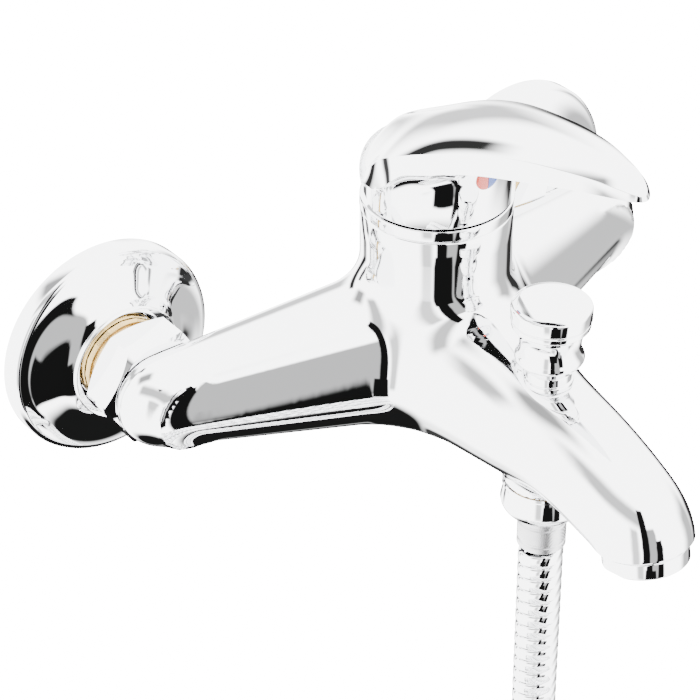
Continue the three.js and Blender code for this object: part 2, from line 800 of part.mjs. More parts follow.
function indicatorHalf(side) {
  const disc = rod(plugRadius, hubRadius - plugDepth + seatGap, hubRadius + 0.1, 24);
  const low = side < 0 ? [-6, -6, 0] : [0.1, -6, 0];
  const high = side < 0 ? [-0.1, 6, 40] : [6, 6, 40];
  return alongScrew(common(disc, boxBetween(low, high)));
}

function addLever(tower) {
  piece("collar_cap", collarCap(), "chrome", tower);
  piece("cartridge_dome", cartridgeDome(), "chrome", tower);
  piece("lever_handle", leverHandle(), "chrome", tower);
  piece("handle_set_screw", handleSetScrew(), "steel", tower);
  piece("indicator_hot", indicatorHalf(-1), "redPlastic", tower);
  piece("indicator_cold", indicatorHalf(1), "bluePlastic", tower);
}

// Diverter, in a group on its own axis

const valveBottom = nippleTop + seatGap + valveSeal + seatGap;
const valveTop = valveBottom + valveThickness;
const bushingBottom = galleryTop + seatGap;
const bushingTop = knobBottom - 0.5;

function diverterKnob() {
  const top = knobBottom + knobHeight;
  const outside = turned([
    [0, knobBottom],
    [knobFootRadius - 0.8, knobBottom],
    [knobFootRadius, knobBottom + 0.7],
    [knobFootRadius, knobBottom + 1.6],
    [knobFootRadius - 0.9, knobBottom + 2.6],
    [knobWaistRadius, knobBottom + 6],
    [knobWaistRadius + 0.3, knobBottom + 9.5],
    [knobTopRadius - 1.4, top - 6.6],
    [knobTopRadius - 0.3, top - 5.6],
    [knobTopRadius - 0.9, top - 5],
    [knobTopRadius, top - 4.2],
    [knobTopRadius, top - 1],
    [knobTopRadius - 0.9, top],
    [0, top + 0.3],
  ]);
  return cut(outside, rod(rodRadius + seatGap, knobBottom - 1, knobBottom + 13, 20));
}

function diverterRod() {
  return rod(rodRadius, valveBottom + 0.6, knobBottom + 12.6, 20);
}

function diverterValve() {
  return cut(
    rod(valveRadius, valveBottom, valveTop, 28),
    rod(rodRadius + seatGap, valveBottom + 0.3, valveTop + 1, 20),
  );
}

function diverterSeat() {
  return tube(seatBore, chamberRadius, seatBottom, seatBottom + seatThickness);
}

function diverterBushing() {
  const flangeBottom = spotFaceHeight + seatGap;
  return turned([
    [rodRadius + 2.2, bushingBottom],
    [bushingThreadRadius, bushingBottom],
    [bushingThreadRadius, flangeBottom],
    [bushingRadius, flangeBottom],
    [bushingRadius, bushingTop - 0.8],
    [bushingRadius - 0.8, bushingTop],
    [rodRadius + 0.15, bushingTop],
    [rodRadius + 0.15, flangeBottom - 1.5],
    [rodRadius + 2.2, flangeBottom - 1.5],
    [rodRadius + 2.2, bushingBottom],
  ]);
}

function ringSeal(middle, thickness, height, segments = 16) {
  return turned(
    Array.from({ length: 7 }, (_, index) => {
      const angle = (index / 6) * 2 * Math.PI;
      return [middle + thickness * Math.cos(angle), height + thickness * Math.sin(angle)];
    }),
    segments,
  );
}

function addDiverter(group) {
  piece("diverter_knob", diverterKnob(), "chrome", group);
  piece("diverter_rod", diverterRod(), "steel", group);
  piece("diverter_bushing", diverterBushing(), "chrome", group);
  piece("diverter_gland_seal", ringSeal(rodRadius + 1.1, 0.9, bushingBottom + 1.8), "rubber", group);
  piece("diverter_valve", diverterValve(), "brass", group);
  const lowerSeal = valveBottom - seatGap - valveSeal + 0.2;
  const upperSeal = valveTop + 0.1;
  const lowerRing = tube(nippleBore + 0.2, valveRadius, lowerSeal, lowerSeal + valveSeal);
  const upperRing = tube(seatBore - 0.4, valveRadius, upperSeal, upperSeal + valveSeal);
  piece("diverter_lower_seal", lowerRing, "rubber", group);
  piece("diverter_upper_seal", upperRing, "rubber", group);
  piece("diverter_spring", spring(3.5, 0.45, valveTop + 0.2, bushingBottom - 0.2, 6), "steel", group);
  piece("diverter_seat", diverterSeat(), "brass", group);
}

// Threaded outlet with its non-return valve, in the diverter's group

const cageTop = nippleTop - 1.6;
const cageBottom = nippleBottom + 0.4;
const poppetSeat = cageTop - 1.6;

function outletNipple() {
  const shoulder = bossBottom - seatGap;
  return turned([
    [nippleBore, nippleBottom],
    ...threadProfile(outletThreadRadius, 1.1, nippleBottom, shoulder - 0.2, 2.2),
    [outletThreadRadius, shoulder],
    [nippleUpperRadius, shoulder],
    [nippleUpperRadius, nippleTop - 0.6],
    [chamberRadius - 0.2, nippleTop],
    [nippleBore - 1.2, nippleTop],
    [nippleBore - 1.2, nippleTop - 1.2],
    [nippleBore, nippleTop - 1.2],
    [nippleBore, nippleBottom],
  ]);
}

function checkValveBody() {
  const outer = nippleBore - seatGap;
  const inner = outer - 1.3;
  const sleeve = turned([
    [inner, cageBottom],
    [outer, cageBottom],
    [outer, cageTop],
    [2.4, cageTop],
    [2.4, cageTop - 1.2],
    [inner, cageTop - 1.8],
    [inner, cageBottom],
  ], 24);
  const hub = tube(1.2, 2, cageBottom, cageBottom + 1.2, 16);
  const arms = [0, 0.5, 1, 1.5].map((turn) =>
    boxBetween([1.6, -0.5, cageBottom], [inner + 0.6, 0.5, cageBottom + 1.2]).rotateZ(turn * Math.PI),
  );
  return join(sleeve, hub, ...arms);
}

function checkPoppet() {
  const top = poppetSeat - seatGap;
  return turned([
    [0, cageBottom - 0.2],
    [0.9, cageBottom - 0.2],
    [0.9, top - 1.4],
    [3.1, top - 1.4],
    [3.1, top - 0.6],
    [1.8, top],
    [0, top],
  ], 20);
}

function addHoseOutlet(group) {
  piece("outlet_nipple", outletNipple(), "brass", group);
  piece("check_valve_body", checkValveBody(), "acetal", group);
  piece("check_poppet", checkPoppet(), "greyPlastic", group);
  const springBottom = cageBottom + 1.4;
  const springTop = poppetSeat - seatGap - 1.6;
  piece("check_spring", spring(1.9, 0.3, springBottom, springTop, 4), "steel", group);
}

// Aerator, in the outlet's own frame

function aeratorHousing() {
  return turned([
    [aeratorRadius - 2.2, -aeratorHeight],
    [aeratorRadius - 0.8, -aeratorHeight],
    [aeratorRadius, -aeratorHeight + 0.8],
    [aeratorRadius, -seatGap],
    [aeratorThreadRadius, -seatGap],
    [aeratorThreadRadius, aeratorThreadLength - 1.6],
    [aeratorThreadRadius - 1, aeratorThreadLength - 1.6],
    [aeratorThreadRadius - 1, -aeratorHeight + 1.4],
    [aeratorRadius - 2.2, -aeratorHeight],
  ], 36);
}

function aeratorInsert() {
  const radius = aeratorThreadRadius - 1 - seatGap;
  const low = -aeratorHeight + 2.6;
  const block = rod(radius, low, aeratorThreadLength - 2, 28);
  const jets = Array.from({ length: 8 }, (_, index) =>
    rod(0.9, low - 1, aeratorThreadLength, 8).translate(5.6, 0, 0).rotateZ((index / 4) * Math.PI),
  );
  const mixer = rod(radius - 1.4, low - 1, low + 4, 24);
  return cut(block, ...jets, mixer);
}

function aeratorMesh() {
  const radius = aeratorThreadRadius - 1 - seatGap;
  const low = -aeratorHeight + 1.7;
  const disc = rod(radius, low, low + 0.6, 28);
  const pitch = 4;
  const half = 1.4;
  const holes = [-1, 0, 1].flatMap((row) =>
    [-1, 0, 1].map((column) =>
      boxBetween([-half, -half, low - 1], [half, half, low + 2]).translate(row * pitch, column * pitch, 0),
    ),
  );
  return cut(disc, ...holes);
}

function addAerator(root) {
  const group = groupAt(0, -towerReach - spoutReach, -spoutDrop, root);
  group.rotation.x = -outletTilt;
  piece("aerator_housing", aeratorHousing(), "chrome", group);
  piece("aerator_insert", aeratorInsert(), "acetal", group);
  piece("aerator_mesh", aeratorMesh(), "steel", group);
  const gasketLow = aeratorThreadLength - 1.3;
  const gasket = tube(aeratorThreadRadius - 2.4, aeratorThreadRadius - 0.2, gasketLow, gasketLow + 1.5);
  piece("aerator_gasket", gasket, "rubber", group);
}

// Shower hose, in a group on the diverter's axis at the inlets' height

const hoseNutTop = bossBottom - seatGap;
const hoseNutBottom = hoseNutTop - hoseNutHeight;
const hoseTop = hoseNutBottom - ferruleLength - seatGap;
const innerArcRadius = (coilRadius - coilCentreX) / 2;

// A round nut with a domed foot, from its open end at height 0 down to its foot
function hoseNut() {
  const low = -hoseNutHeight;
  return turned([
    [spigotRadius + runningGap, low],
    [ferruleRadius + 0.6, low],
    [ferruleRadius + 2.4, low + 1.7],
    [hoseNutRadius - 1.1, low + 4],
    [hoseNutRadius, low + 6.6],
    [hoseNutRadius, -0.5],
    [hoseNutRadius - 0.5, 0],
    [outletThreadRadius + seatGap, 0],
    [outletThreadRadius + seatGap, low + nutFootThickness],
    [spigotRadius + runningGap, low + nutFootThickness],
    [spigotRadius + runningGap, low],
  ], 24);
}

// The crimped sleeve under a nut, with the flanged spigot that the nut turns on
function hoseFerrule() {
  const low = -ferruleLength;
  const seatTop = seatGap + nutFootThickness + seatGap;
  return turned([
    [0, low],
    [ferruleRadius, low],
    [ferruleRadius, -0.6],
    [ferruleRadius - 0.6, -seatGap],
    [spigotRadius, -seatGap],
    [spigotRadius, seatTop],
    [spigotRadius + 2.2, seatTop],
    [spigotRadius + 2.2, seatTop + spigotFlange],
    [2.6, seatTop + spigotFlange],
    [2.6, low + 3],
    [0, low + 3],
  ]);
}

function hoseWasher() {
  const low = -hoseNutHeight + nutFootThickness + seatGap + spigotFlange + seatGap;
  return tube(3.6, outletThreadRadius - 1, low, nippleBottom - hoseNutTop - seatGap);
}

// The hanging stretch: straight down, then half a turn inside the coil to the coil's left side
function hoseRoute() {
  const arcMiddle = -innerArcRadius;
  const straight = [0, -20, -45, -70, -95].map((drop) => new THREE.Vector3(0, 0, hoseTop - seatGap + drop));
  const arc = Array.from({ length: 13 }, (_, index) => {
    const angle = (index / 12) * Math.PI;
    return new THREE.Vector3(
      arcMiddle + innerArcRadius * Math.cos(angle),
      0,
      coilCentreZ - innerArcRadius * Math.sin(angle),
    );
  });
  return new THREE.CatmullRomCurve3([...straight, ...arc], false, "centripetal");
}

const coilBack = -hoseRadius - 0.6;
const coilThickness = (coilTurns - 0.25) * coilPitch - 0.4;
const coilFront = coilBack - coilThickness;
const hoseTailY = coilFront - ferruleRadius - 0.4;

function hoseCoil() {
  return turned([
    [coilRadius - hoseRadius, 0],
    [coilRadius + hoseRadius, 0],
    [coilRadius + hoseRadius, coilThickness],
    [coilRadius - hoseRadius, coilThickness],
    [coilRadius - hoseRadius, 0],
  ], 40).rotateX(Math.PI / 2).translate(0, coilBack, 0);
}

// A flat band round the bundle, square to the hose there
function hoseTie(backY, frontY) {
  const half = hoseRadius + tieClearance;
  const front = frontY - tieClearance;
  const back = backY + tieClearance;
  const outline = boxBetween(
    [-half - tieBand, front - tieBand, -tieHalfWidth],
    [half + tieBand, back + tieBand, tieHalfWidth],
  );
  return cut(outline, boxBetween([-half, front, -tieHalfWidth - 1], [half, back, tieHalfWidth + 1]));
}

function addHose(group) {
  piece("hose_nut_top", hoseNut(), "chrome", group).position.z = hoseNutTop;
  piece("hose_washer_top", hoseWasher(), "rubber", group).position.z = hoseNutTop;
  piece("hose_ferrule_top", hoseFerrule(), "chrome", group).position.z = hoseNutBottom - seatGap;
  piece("shower_hose", sweptTube(hoseRoute(), hoseRadius, 8, 32), "chrome", group);
  const coil = groupAt(coilCentreX, 0, coilCentreZ, group);
  piece("hose_coil", hoseCoil(), "chrome", coil);
  const tail = groupAt(coilRadius, hoseTailY, 0, coil);
  piece("hose_tail", rod(hoseRadius, -tailLength, 0, 12), "chrome", tail);
  const ferruleZ = -tailLength - seatGap - ferruleLength;
  const endFerrule = piece("hose_ferrule_end", hoseFerrule(), "chrome", tail);
  endFerrule.rotation.x = Math.PI;
  endFerrule.position.z = ferruleZ;
  const endNut = piece("hose_nut_end", hoseNut(), "chrome", tail);
  endNut.rotation.x = Math.PI;
  endNut.position.z = ferruleZ - seatGap - hoseNutHeight;
  const endWasher = piece("hose_washer_end", hoseWasher(), "rubber", tail);
  endWasher.rotation.x = Math.PI;
  endWasher.position.z = endNut.position.z;
  const leftTie = piece("hose_tie_left", hoseTie(hoseRadius, coilFront), "strap", coil);
  leftTie.position.set(-coilRadius, 0, -tieHalfWidth);
  const rightTie = piece("hose_tie_right", hoseTie(coilBack, hoseTailY - hoseRadius), "strap", coil);
  rightTie.position.set(coilRadius, 0, -tieHalfWidth);
}

const faucet = new THREE.Group();
piece("body_casting", bodyCasting(), "chrome", faucet);
addInlet(-1, "left", faucet);
addInlet(1, "right", faucet);
const tower = groupAt(0, -towerReach, 0, faucet);
addCartridge(tower);
addLever(tower);
const diverterAxis = groupAt(0, -towerReach - diverterReach, 0, faucet);
addDiverter(diverterAxis);
addHoseOutlet(diverterAxis);
addHose(diverterAxis);
addAerator(faucet);

export default faucet;
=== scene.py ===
"""Visual model of a wall mounted bath mixer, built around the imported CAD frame.

The CAD frame gives the places and the joints. This script makes the fine surfaces: the cast body,
the lever, the wall flanges and their nuts, the diverter knob, the aerator and the ribbed shower
hose, and it gives every piece its finish. Shapes are worked out in millimetres, and every mesh is
stored in metres, in the frame's own axes: +X along the wall, -Y towards the user, +Z up.
"""

import json
import logging
import math
from collections.abc import Callable, Iterable, Sequence
from dataclasses import dataclass, field
from enum import Enum

import bmesh
import bpy
import numpy as np
from mathutils import Matrix, Vector


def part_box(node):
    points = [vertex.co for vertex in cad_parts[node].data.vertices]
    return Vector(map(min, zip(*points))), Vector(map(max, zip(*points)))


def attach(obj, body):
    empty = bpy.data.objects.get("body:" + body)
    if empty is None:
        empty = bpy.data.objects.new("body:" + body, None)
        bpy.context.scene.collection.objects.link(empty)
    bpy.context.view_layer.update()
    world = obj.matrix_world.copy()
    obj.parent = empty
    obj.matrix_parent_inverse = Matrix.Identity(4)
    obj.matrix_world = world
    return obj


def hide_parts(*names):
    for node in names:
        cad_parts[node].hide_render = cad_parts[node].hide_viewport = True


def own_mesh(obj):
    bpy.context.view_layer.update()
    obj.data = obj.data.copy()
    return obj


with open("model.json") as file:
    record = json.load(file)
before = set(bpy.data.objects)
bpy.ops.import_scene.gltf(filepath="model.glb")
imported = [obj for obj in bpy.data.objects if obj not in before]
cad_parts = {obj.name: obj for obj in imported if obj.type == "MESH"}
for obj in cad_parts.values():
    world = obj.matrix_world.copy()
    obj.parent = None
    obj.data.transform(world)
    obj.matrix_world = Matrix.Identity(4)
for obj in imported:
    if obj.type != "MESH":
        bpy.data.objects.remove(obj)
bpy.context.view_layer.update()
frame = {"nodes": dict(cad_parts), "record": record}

log = logging.getLogger("bath_mixer")
MM = 0.001
Points = np.ndarray


class Slot(Enum):
    """The record's material slots."""

    CHROME = "chrome"
    BRASS = "brass"
    STEEL = "steel"
    CERAMIC = "ceramic"
    ACETAL = "acetal"
    GREY_PLASTIC = "grey_plastic"
    RUBBER = "rubber"
    RED_PLASTIC = "red_plastic"
    BLUE_PLASTIC = "blue_plastic"
    STRAP = "strap"


class Body(Enum):
    """The frame's moving bodies."""

    ROOT = "root"
    SWIVEL = "swivel"
    LEVER = "lever"
    DIVERTER = "diverter"
    END_NUT = "end_nut"


# ---------------------------------------------------------------- shader building


class Link:
    """A shader socket, or a plain number, that can be used in Python arithmetic."""

    def __init__(self, graph: "ShaderGraph", value: "bpy.types.NodeSocket | float") -> None:
        """Wraps a socket or a number of that graph."""
        self.graph = graph
        self.value = value

    def _with(self, operation: str, first: "Link | float", second: "Link | float") -> "Link":
        """Adds one Math node and returns its result."""
        return self.graph.node("ShaderNodeMath", {"operation": operation}, {0: first, 1: second})

    def __add__(self, other: "Link | float") -> "Link":
        """self + other"""
        return self._with("ADD", self, other)

    __radd__ = __add__

    def __sub__(self, other: "Link | float") -> "Link":
        """self - other"""
        return self._with("SUBTRACT", self, other)

    def __rsub__(self, other: float) -> "Link":
        """other - self"""
        return self._with("SUBTRACT", other, self)

    def __mul__(self, other: "Link | float") -> "Link":
        """self * other"""
        return self._with("MULTIPLY", self, other)

    __rmul__ = __mul__

    def __truediv__(self, other: float) -> "Link":
        """self / other"""
        return self._with("DIVIDE", self, other)


class ShaderGraph:
    """One node tree and the few ways this script adds to it."""

    def __init__(self, tree: bpy.types.NodeTree) -> None:
        """Starts from an empty tree."""
        self.tree = tree
        tree.nodes.clear()

    def node(
        self,
        kind: str,
        settings: dict[str, object] | None = None,
        inputs: dict[str | int, object] | None = None,
        output: str | int = 0,
    ) -> Link:
        """Adds a node.

        Args:
            kind: The node's type.
            settings: Properties, set before the sockets. "stops" fills a colour ramp.
            inputs: Values or links of its sockets, by name or number.
            output: Which socket to return.

        Returns:
            The chosen output.
        """
        made = self.tree.nodes.new(kind)
        for name, value in (settings or {}).items():
            if name == "stops":
                self._fill_ramp(made, value)
            else:
                setattr(made, name, value)
        for key, value in (inputs or {}).items():
            plain = value.value if isinstance(value, Link) else value
            if isinstance(plain, bpy.types.NodeSocket):
                self.tree.links.new(plain, made.inputs[key])
            else:
                made.inputs[key].default_value = plain
        return Link(self, made.outputs[output])

    @staticmethod
    def _fill_ramp(made: bpy.types.Node, stops: Sequence[tuple[float, float]]) -> None:
        """Gives a colour ramp its grey stops, as (position, brightness)."""
        elements = made.color_ramp.elements
        while len(elements) < len(stops):
            elements.new(1.0)
        for element, (position, grey) in zip(elements, stops):
            element.position = position
            element.color = (grey, grey, grey, 1.0)

    def ramp(self, value: Link, stops: Sequence[tuple[float, float]]) -> Link:
        """A value read through a curve of (position, brightness) stops."""
        return self.node("ShaderNodeValToRGB", {"stops": stops}, {0: value})

    def noise(self, scale: float, detail: float = 2.0, where: Link | None = None) -> Link:
        """Noise over the object, as a value around a half; scale is in blotches per metre."""
        place = where or self.node("ShaderNodeTexCoord", output="Object")
        inputs = {"Vector": place, "Scale": scale, "Detail": detail}
        return self.node("ShaderNodeTexNoise", inputs=inputs, output=0)

    def mix(self, share: Link | float, first: Sequence[float], second: Sequence[float]) -> Link:
        """A colour between two colours."""
        settings = {"data_type": "RGBA"}
        return self.node("ShaderNodeMix", settings, {0: share, 6: (*first, 1.0), 7: (*second, 1.0)}, 2)

    def bump(self, height: Link, depth: float) -> Link:
        """A normal from a height field of that depth in metres."""
        return self.node("ShaderNodeBump", inputs={"Height": height, "Distance": depth, "Strength": 1.0})

    def surface(self, sockets: dict[str, object]) -> None:
        """Ends the tree in a Principled shader with those sockets."""
        shader = self.node("ShaderNodeBsdfPrincipled", inputs=sockets)
        self.node_output("ShaderNodeOutputMaterial", shader)

    def node_output(self, kind: str, shader: Link) -> None:
        """Ends the tree in an output node."""
        end = self.tree.nodes.new(kind)
        self.tree.links.new(shader.value, end.inputs["Surface"])


class Finish:
    """A finish that makes its own material once."""

    def material(self) -> bpy.types.Material:
        """The finish's material, made on first use."""
        name = self.label
        if name not in bpy.data.materials:
            made = bpy.data.materials.new(name)
            made.use_nodes = True
            self.build(ShaderGraph(made.node_tree))
        return bpy.data.materials[name]

    def build(self, graph: ShaderGraph) -> None:
        """Fills the material's node tree."""
        raise NotImplementedError


@dataclass(frozen=True)
class PolishedChrome(Finish):
    """Bright plating: nearly a mirror, with faint wiping marks and a trace of the polisher's ripple."""

    label: str = "polished_chrome"
    tint: tuple[float, float, float] = (0.90, 0.905, 0.915)
    shade: tuple[float, float, float] = (0.84, 0.845, 0.855)
    gloss: float = 0.018
    smear: float = 0.03
    ripple: float = 0.000002

    def build(self, graph: ShaderGraph) -> None:
        """Fills the material's node tree."""
        cloud = graph.noise(18.0, 3.0)
        wiped = graph.ramp(graph.noise(70.0, 4.0), [(0.45, 0.0), (0.75, 1.0)])
        height = graph.noise(55.0, 1.0)
        graph.surface({
            "Base Color": graph.mix(cloud, self.tint, self.shade),
            "Metallic": 1.0,
            "Roughness": wiped * self.smear + self.gloss,
            "Normal": graph.bump(height, self.ripple),
        })


@dataclass(frozen=True)
class TurnedMetal(Finish):
    """Bare metal with fine lines left by the lathe and a slight tarnish."""

    label: str
    bright: tuple[float, float, float]
    dull: tuple[float, float, float]
    gloss: float = 0.22
    line_scale: float = 900.0
    line_depth: float = 0.00002

    def build(self, graph: ShaderGraph) -> None:
        """Fills the material's node tree."""
        place = graph.node("ShaderNodeTexCoord", output="Object")
        lines = graph.node(
            "ShaderNodeTexWave",
            {"wave_type": "RINGS", "rings_direction": "SPHERICAL"},
            {"Vector": place, "Scale": self.line_scale, "Distortion": 1.5, "Detail": 2.0},
            1,
        )
        tarnish = graph.noise(140.0, 5.0)
        graph.surface({
            "Base Color": graph.mix(tarnish, self.bright, self.dull),
            "Metallic": 1.0,
            "Roughness": tarnish * 0.25 + self.gloss,
            "Normal": graph.bump(lines, self.line_depth),
        })


@dataclass(frozen=True)
class Moulded(Finish):
    """Moulded plastic, rubber or fired ceramic with its own fine grain."""

    label: str
    tone: tuple[float, float, float]
    worn: tuple[float, float, float]
    gloss: float = 0.4
    spread: float = 0.15
    grain_scale: float = 1500.0
    grain_depth: float = 0.00002

    def build(self, graph: ShaderGraph) -> None:
        """Fills the material's node tree."""
        patches = graph.noise(120.0, 4.0)
        grain = graph.noise(self.grain_scale, 2.0)
        graph.surface({
            "Base Color": graph.mix(patches, self.tone, self.worn),
            "Metallic": 0.0,
            "Roughness": patches * self.spread + self.gloss,
            "Normal": graph.bump(grain, self.grain_depth),
        })


@dataclass(frozen=True)
class WovenBand(Finish):
    """Dark hook-and-loop band: a close weave with a fuzzy surface."""

    label: str = "woven_band"
    dark: tuple[float, float, float] = (0.012, 0.012, 0.014)
    light: tuple[float, float, float] = (0.05, 0.05, 0.055)
    thread: float = 1400.0

    def build(self, graph: ShaderGraph) -> None:
        """Fills the material's node tree."""
        place = graph.node("ShaderNodeTexCoord", output="Object")
        threads = [
            graph.node(
                "ShaderNodeTexWave",
                {"wave_type": "BANDS", "bands_direction": direction},
                {"Vector": place, "Scale": self.thread, "Distortion": 2.0, "Detail": 2.0},
                1,
            )
            for direction in ("X", "Y", "Z")
        ]
        weave = (threads[0] + threads[1] + threads[2]) / 3.0
        graph.surface({
            "Base Color": graph.mix(weave, self.dark, self.light),
            "Roughness": weave * 0.1 + 0.8,
            "Sheen Weight": 0.4,
            "Normal": graph.bump(weave, 0.00015),
        })


FINISHES: dict[Slot, Finish] = {
    Slot.CHROME: PolishedChrome(),
    Slot.BRASS: TurnedMetal("machined_brass", (0.72, 0.52, 0.22), (0.50, 0.34, 0.13)),
    Slot.STEEL: TurnedMetal("bright_steel", (0.66, 0.66, 0.67), (0.45, 0.45, 0.46), 0.16),
    Slot.CERAMIC: Moulded(
        "lapped_ceramic", (0.86, 0.84, 0.79), (0.80, 0.78, 0.73), 0.12, 0.06, 4000.0, 0.000004
    ),
    Slot.ACETAL: Moulded("white_acetal", (0.74, 0.74, 0.71), (0.68, 0.68, 0.65), 0.38),
    Slot.GREY_PLASTIC: Moulded("grey_plastic", (0.26, 0.27, 0.29), (0.22, 0.23, 0.25), 0.42),
    Slot.RUBBER: Moulded(
        "seal_rubber", (0.012, 0.012, 0.013), (0.028, 0.027, 0.027), 0.6, 0.2, 2200.0, 0.00004
    ),
    Slot.RED_PLASTIC: Moulded(
        "red_insert", (0.52, 0.07, 0.045), (0.46, 0.06, 0.04), 0.12, 0.08, 2500.0, 0.000004
    ),
    Slot.BLUE_PLASTIC: Moulded(
        "blue_insert", (0.02, 0.07, 0.30), (0.018, 0.06, 0.26), 0.12, 0.08, 2500.0, 0.000004
    ),
    Slot.STRAP: WovenBand(),
}


# ---------------------------------------------------------------- shapes


class Curve:
    """A smooth curve through a few points: a cubic spline by the distance along them."""

    def __init__(self, points: Iterable[Sequence[float]], closed: bool = False) -> None:
        """Fits the spline.

        Args:
            points: The points that it passes through, in any number of dimensions.
            closed: True for a loop, whose last point joins its first.
        """
        self.points = np.array(list(points), float)
        if closed:
            self.points = np.vstack([self.points, self.points[:1]])
        steps = np.linalg.norm(np.diff(self.points, axis=0), axis=1)
        self.knots = np.concatenate([[0.0], np.cumsum(steps)])
        self.length = self.knots[-1]
        self.bends = self._bends(steps, closed)

    def _bends(self, steps: Points, closed: bool) -> Points:
        """The second derivatives at the points."""
        count = len(self.points)
        slopes = np.diff(self.points, axis=0) / steps[:, None]
        system = np.eye(count)
        wanted = np.zeros_like(self.points)
        for i in range(1, count - 1):
            system[i, i - 1:i + 2] = steps[i - 1], 2 * (steps[i - 1] + steps[i]), steps[i]
            wanted[i] = 6 * (slopes[i] - slopes[i - 1])
        if closed:
            system[0, :2] = 2 * (steps[-1] + steps[0]), steps[0]
            system[0, -2] = steps[-1]
            wanted[0] = 6 * (slopes[0] - slopes[-1])
            system[-1, 0] = -1.0
        return np.linalg.solve(system, wanted)

    def at(self, distance: Points | float) -> Points:
        """The points at those distances along the curve."""
        s = np.clip(np.asarray(distance, float), 0.0, self.length)
        i = np.clip(np.searchsorted(self.knots, s, side="right") - 1, 0, len(self.knots) - 2)
        width = self.knots[i + 1] - self.knots[i]
        b = ((s - self.knots[i]) / width)[..., None]
        a = 1.0 - b
        curl = ((a**3 - a) * self.bends[i] + (b**3 - b) * self.bends[i + 1]) * (width**2)[..., None] / 6
        return a * self.points[i] + b * self.points[i + 1] + curl

    def spread(self, count: int) -> Points:
        """Evenly spaced points from start to end."""
        return self.at(np.linspace(0.0, self.length, count))


def rounded(corners: Sequence[Sequence[float]], steps: int = 5) -> list[tuple[float, float]]:
    """A closed outline with its corners rounded.

    Args:
        corners: (radius, height) or (radius, height, rounding) of each corner, in order.
        steps: How many edges a rounding has.

    Returns:
        The outline's points.
    """
    outline: list[tuple[float, float]] = []
    for i, corner in enumerate(corners):
        here = np.array(corner[:2], float)
        rounding = corner[2] if len(corner) > 2 else 0.0
        before = np.array(corners[i - 1][:2], float) - here
        after = np.array(corners[(i + 1) % len(corners)][:2], float) - here
        if rounding <= 0:
            outline.append(tuple(here))
            continue
        before /= np.linalg.norm(before)
        after /= np.linalg.norm(after)
        half = math.acos(np.clip(before @ after, -1, 1)) / 2
        reach = rounding / math.tan(half)
        middle = here + (before + after) / np.linalg.norm(before + after) * rounding / math.sin(half)
        start, end = here + before * reach - middle, here + after * reach - middle
        for share in np.linspace(0, 1, steps + 1):
            arm = start * (1 - share) + end * share
            outline.append(tuple(middle + arm / np.linalg.norm(arm) * rounding))
    return outline


@dataclass
class Shape:
    """A mesh in the making: vertices in millimetres, and faces."""

    vertices: Points
    faces: list[tuple[int, ...]]

    def moved(self, x: float = 0.0, y: float = 0.0, z: float = 0.0) -> "Shape":
        """The shape, shifted."""
        return Shape(self.vertices + np.array([x, y, z]), self.faces)

    def tilted(self, angle: float) -> "Shape":
        """The shape, turned about X by an angle in radians."""
        c, s = math.cos(angle), math.sin(angle)
        turn = np.array([[1, 0, 0], [0, c, -s], [0, s, c]])
        return Shape(self.vertices @ turn.T, self.faces)

    @staticmethod
    def rings(rings: Sequence[Points], closed: bool = False, caps: bool = True) -> "Shape":
        """Skins a row of rings of equal size.

        Args:
            rings: The rings, each an array of points in the same order.
            closed: True if the last ring joins the first.
            caps: True to close the two end rings with a face each.

        Returns:
            The skinned shape.
        """
        count = len(rings[0])
        last = len(rings) if closed else len(rings) - 1
        faces = []
        for i in range(last):
            a, b = i * count, ((i + 1) % len(rings)) * count
            faces += [(a + j, a + (j + 1) % count, b + (j + 1) % count, b + j) for j in range(count)]
        if caps and not closed:
            faces.append(tuple(reversed(range(count))))
            faces.append(tuple(range((len(rings) - 1) * count, len(rings) * count)))
        return Shape(np.concatenate(rings), faces)

    @staticmethod
    def turned(outline: Sequence[Sequence[float]], segments: int = 96) -> "Shape":
        """Turns a closed (radius, height) outline about Z; points on the axis become poles."""
        angles = np.arange(segments) * 2 * math.pi / segments
        spokes = np.stack([np.cos(angles), np.sin(angles)], 1)
        rings = [np.column_stack([spokes * r, np.full(segments, h)]) for r, h in outline]
        on_axis = [abs(r) < 1e-6 for r, _ in outline]
        return Shape.rings(rings, closed=not any(on_axis), caps=False)

    def piece(self, name: str, slot: Slot, body: Body, sharp: float = 35.0) -> bpy.types.Object:
        """Makes the Blender object, in metres, dressed and riding on its body.

        Args:
            name: The piece's name.
            slot: The finish's slot.
            body: The body that carries it.
            sharp: Edges that fold by more degrees than this stay crisp.

        Returns:
            The new object.
        """
        mesh = bpy.data.meshes.new(name)
        mesh.from_pydata((self.vertices * MM).tolist(), [], self.faces)
        made = bpy.data.objects.new(name, mesh)
        bpy.context.scene.collection.objects.link(made)
        return dress(tidy(made, sharp), slot, body)


def tidy(made: bpy.types.Object, sharp: float = 35.0) -> bpy.types.Object:
    """Welds the mesh, turns its faces outwards, and shades it smooth between crisp edges."""
    mesh = made.data
    work = bmesh.new()
    work.from_mesh(mesh)
    bmesh.ops.remove_doubles(work, verts=work.verts, dist=1e-7)
    bmesh.ops.dissolve_degenerate(work, edges=work.edges, dist=1e-8)
    bmesh.ops.recalc_face_normals(work, faces=work.faces)
    work.to_mesh(mesh)
    work.free()
    mesh.shade_smooth()
    mesh.set_sharp_from_angle(angle=math.radians(sharp))
    return made


def dress(made: bpy.types.Object, slot: Slot, body: Body) -> bpy.types.Object:
    """Gives a piece its finish, its slot and its body."""
    made.data.materials.clear()
    made.data.materials.append(FINISHES[slot].material())
    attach(made, body.value)
    log.info("%s: %d faces, rides on %s", made.name, len(made.data.polygons), body.value)
    return made


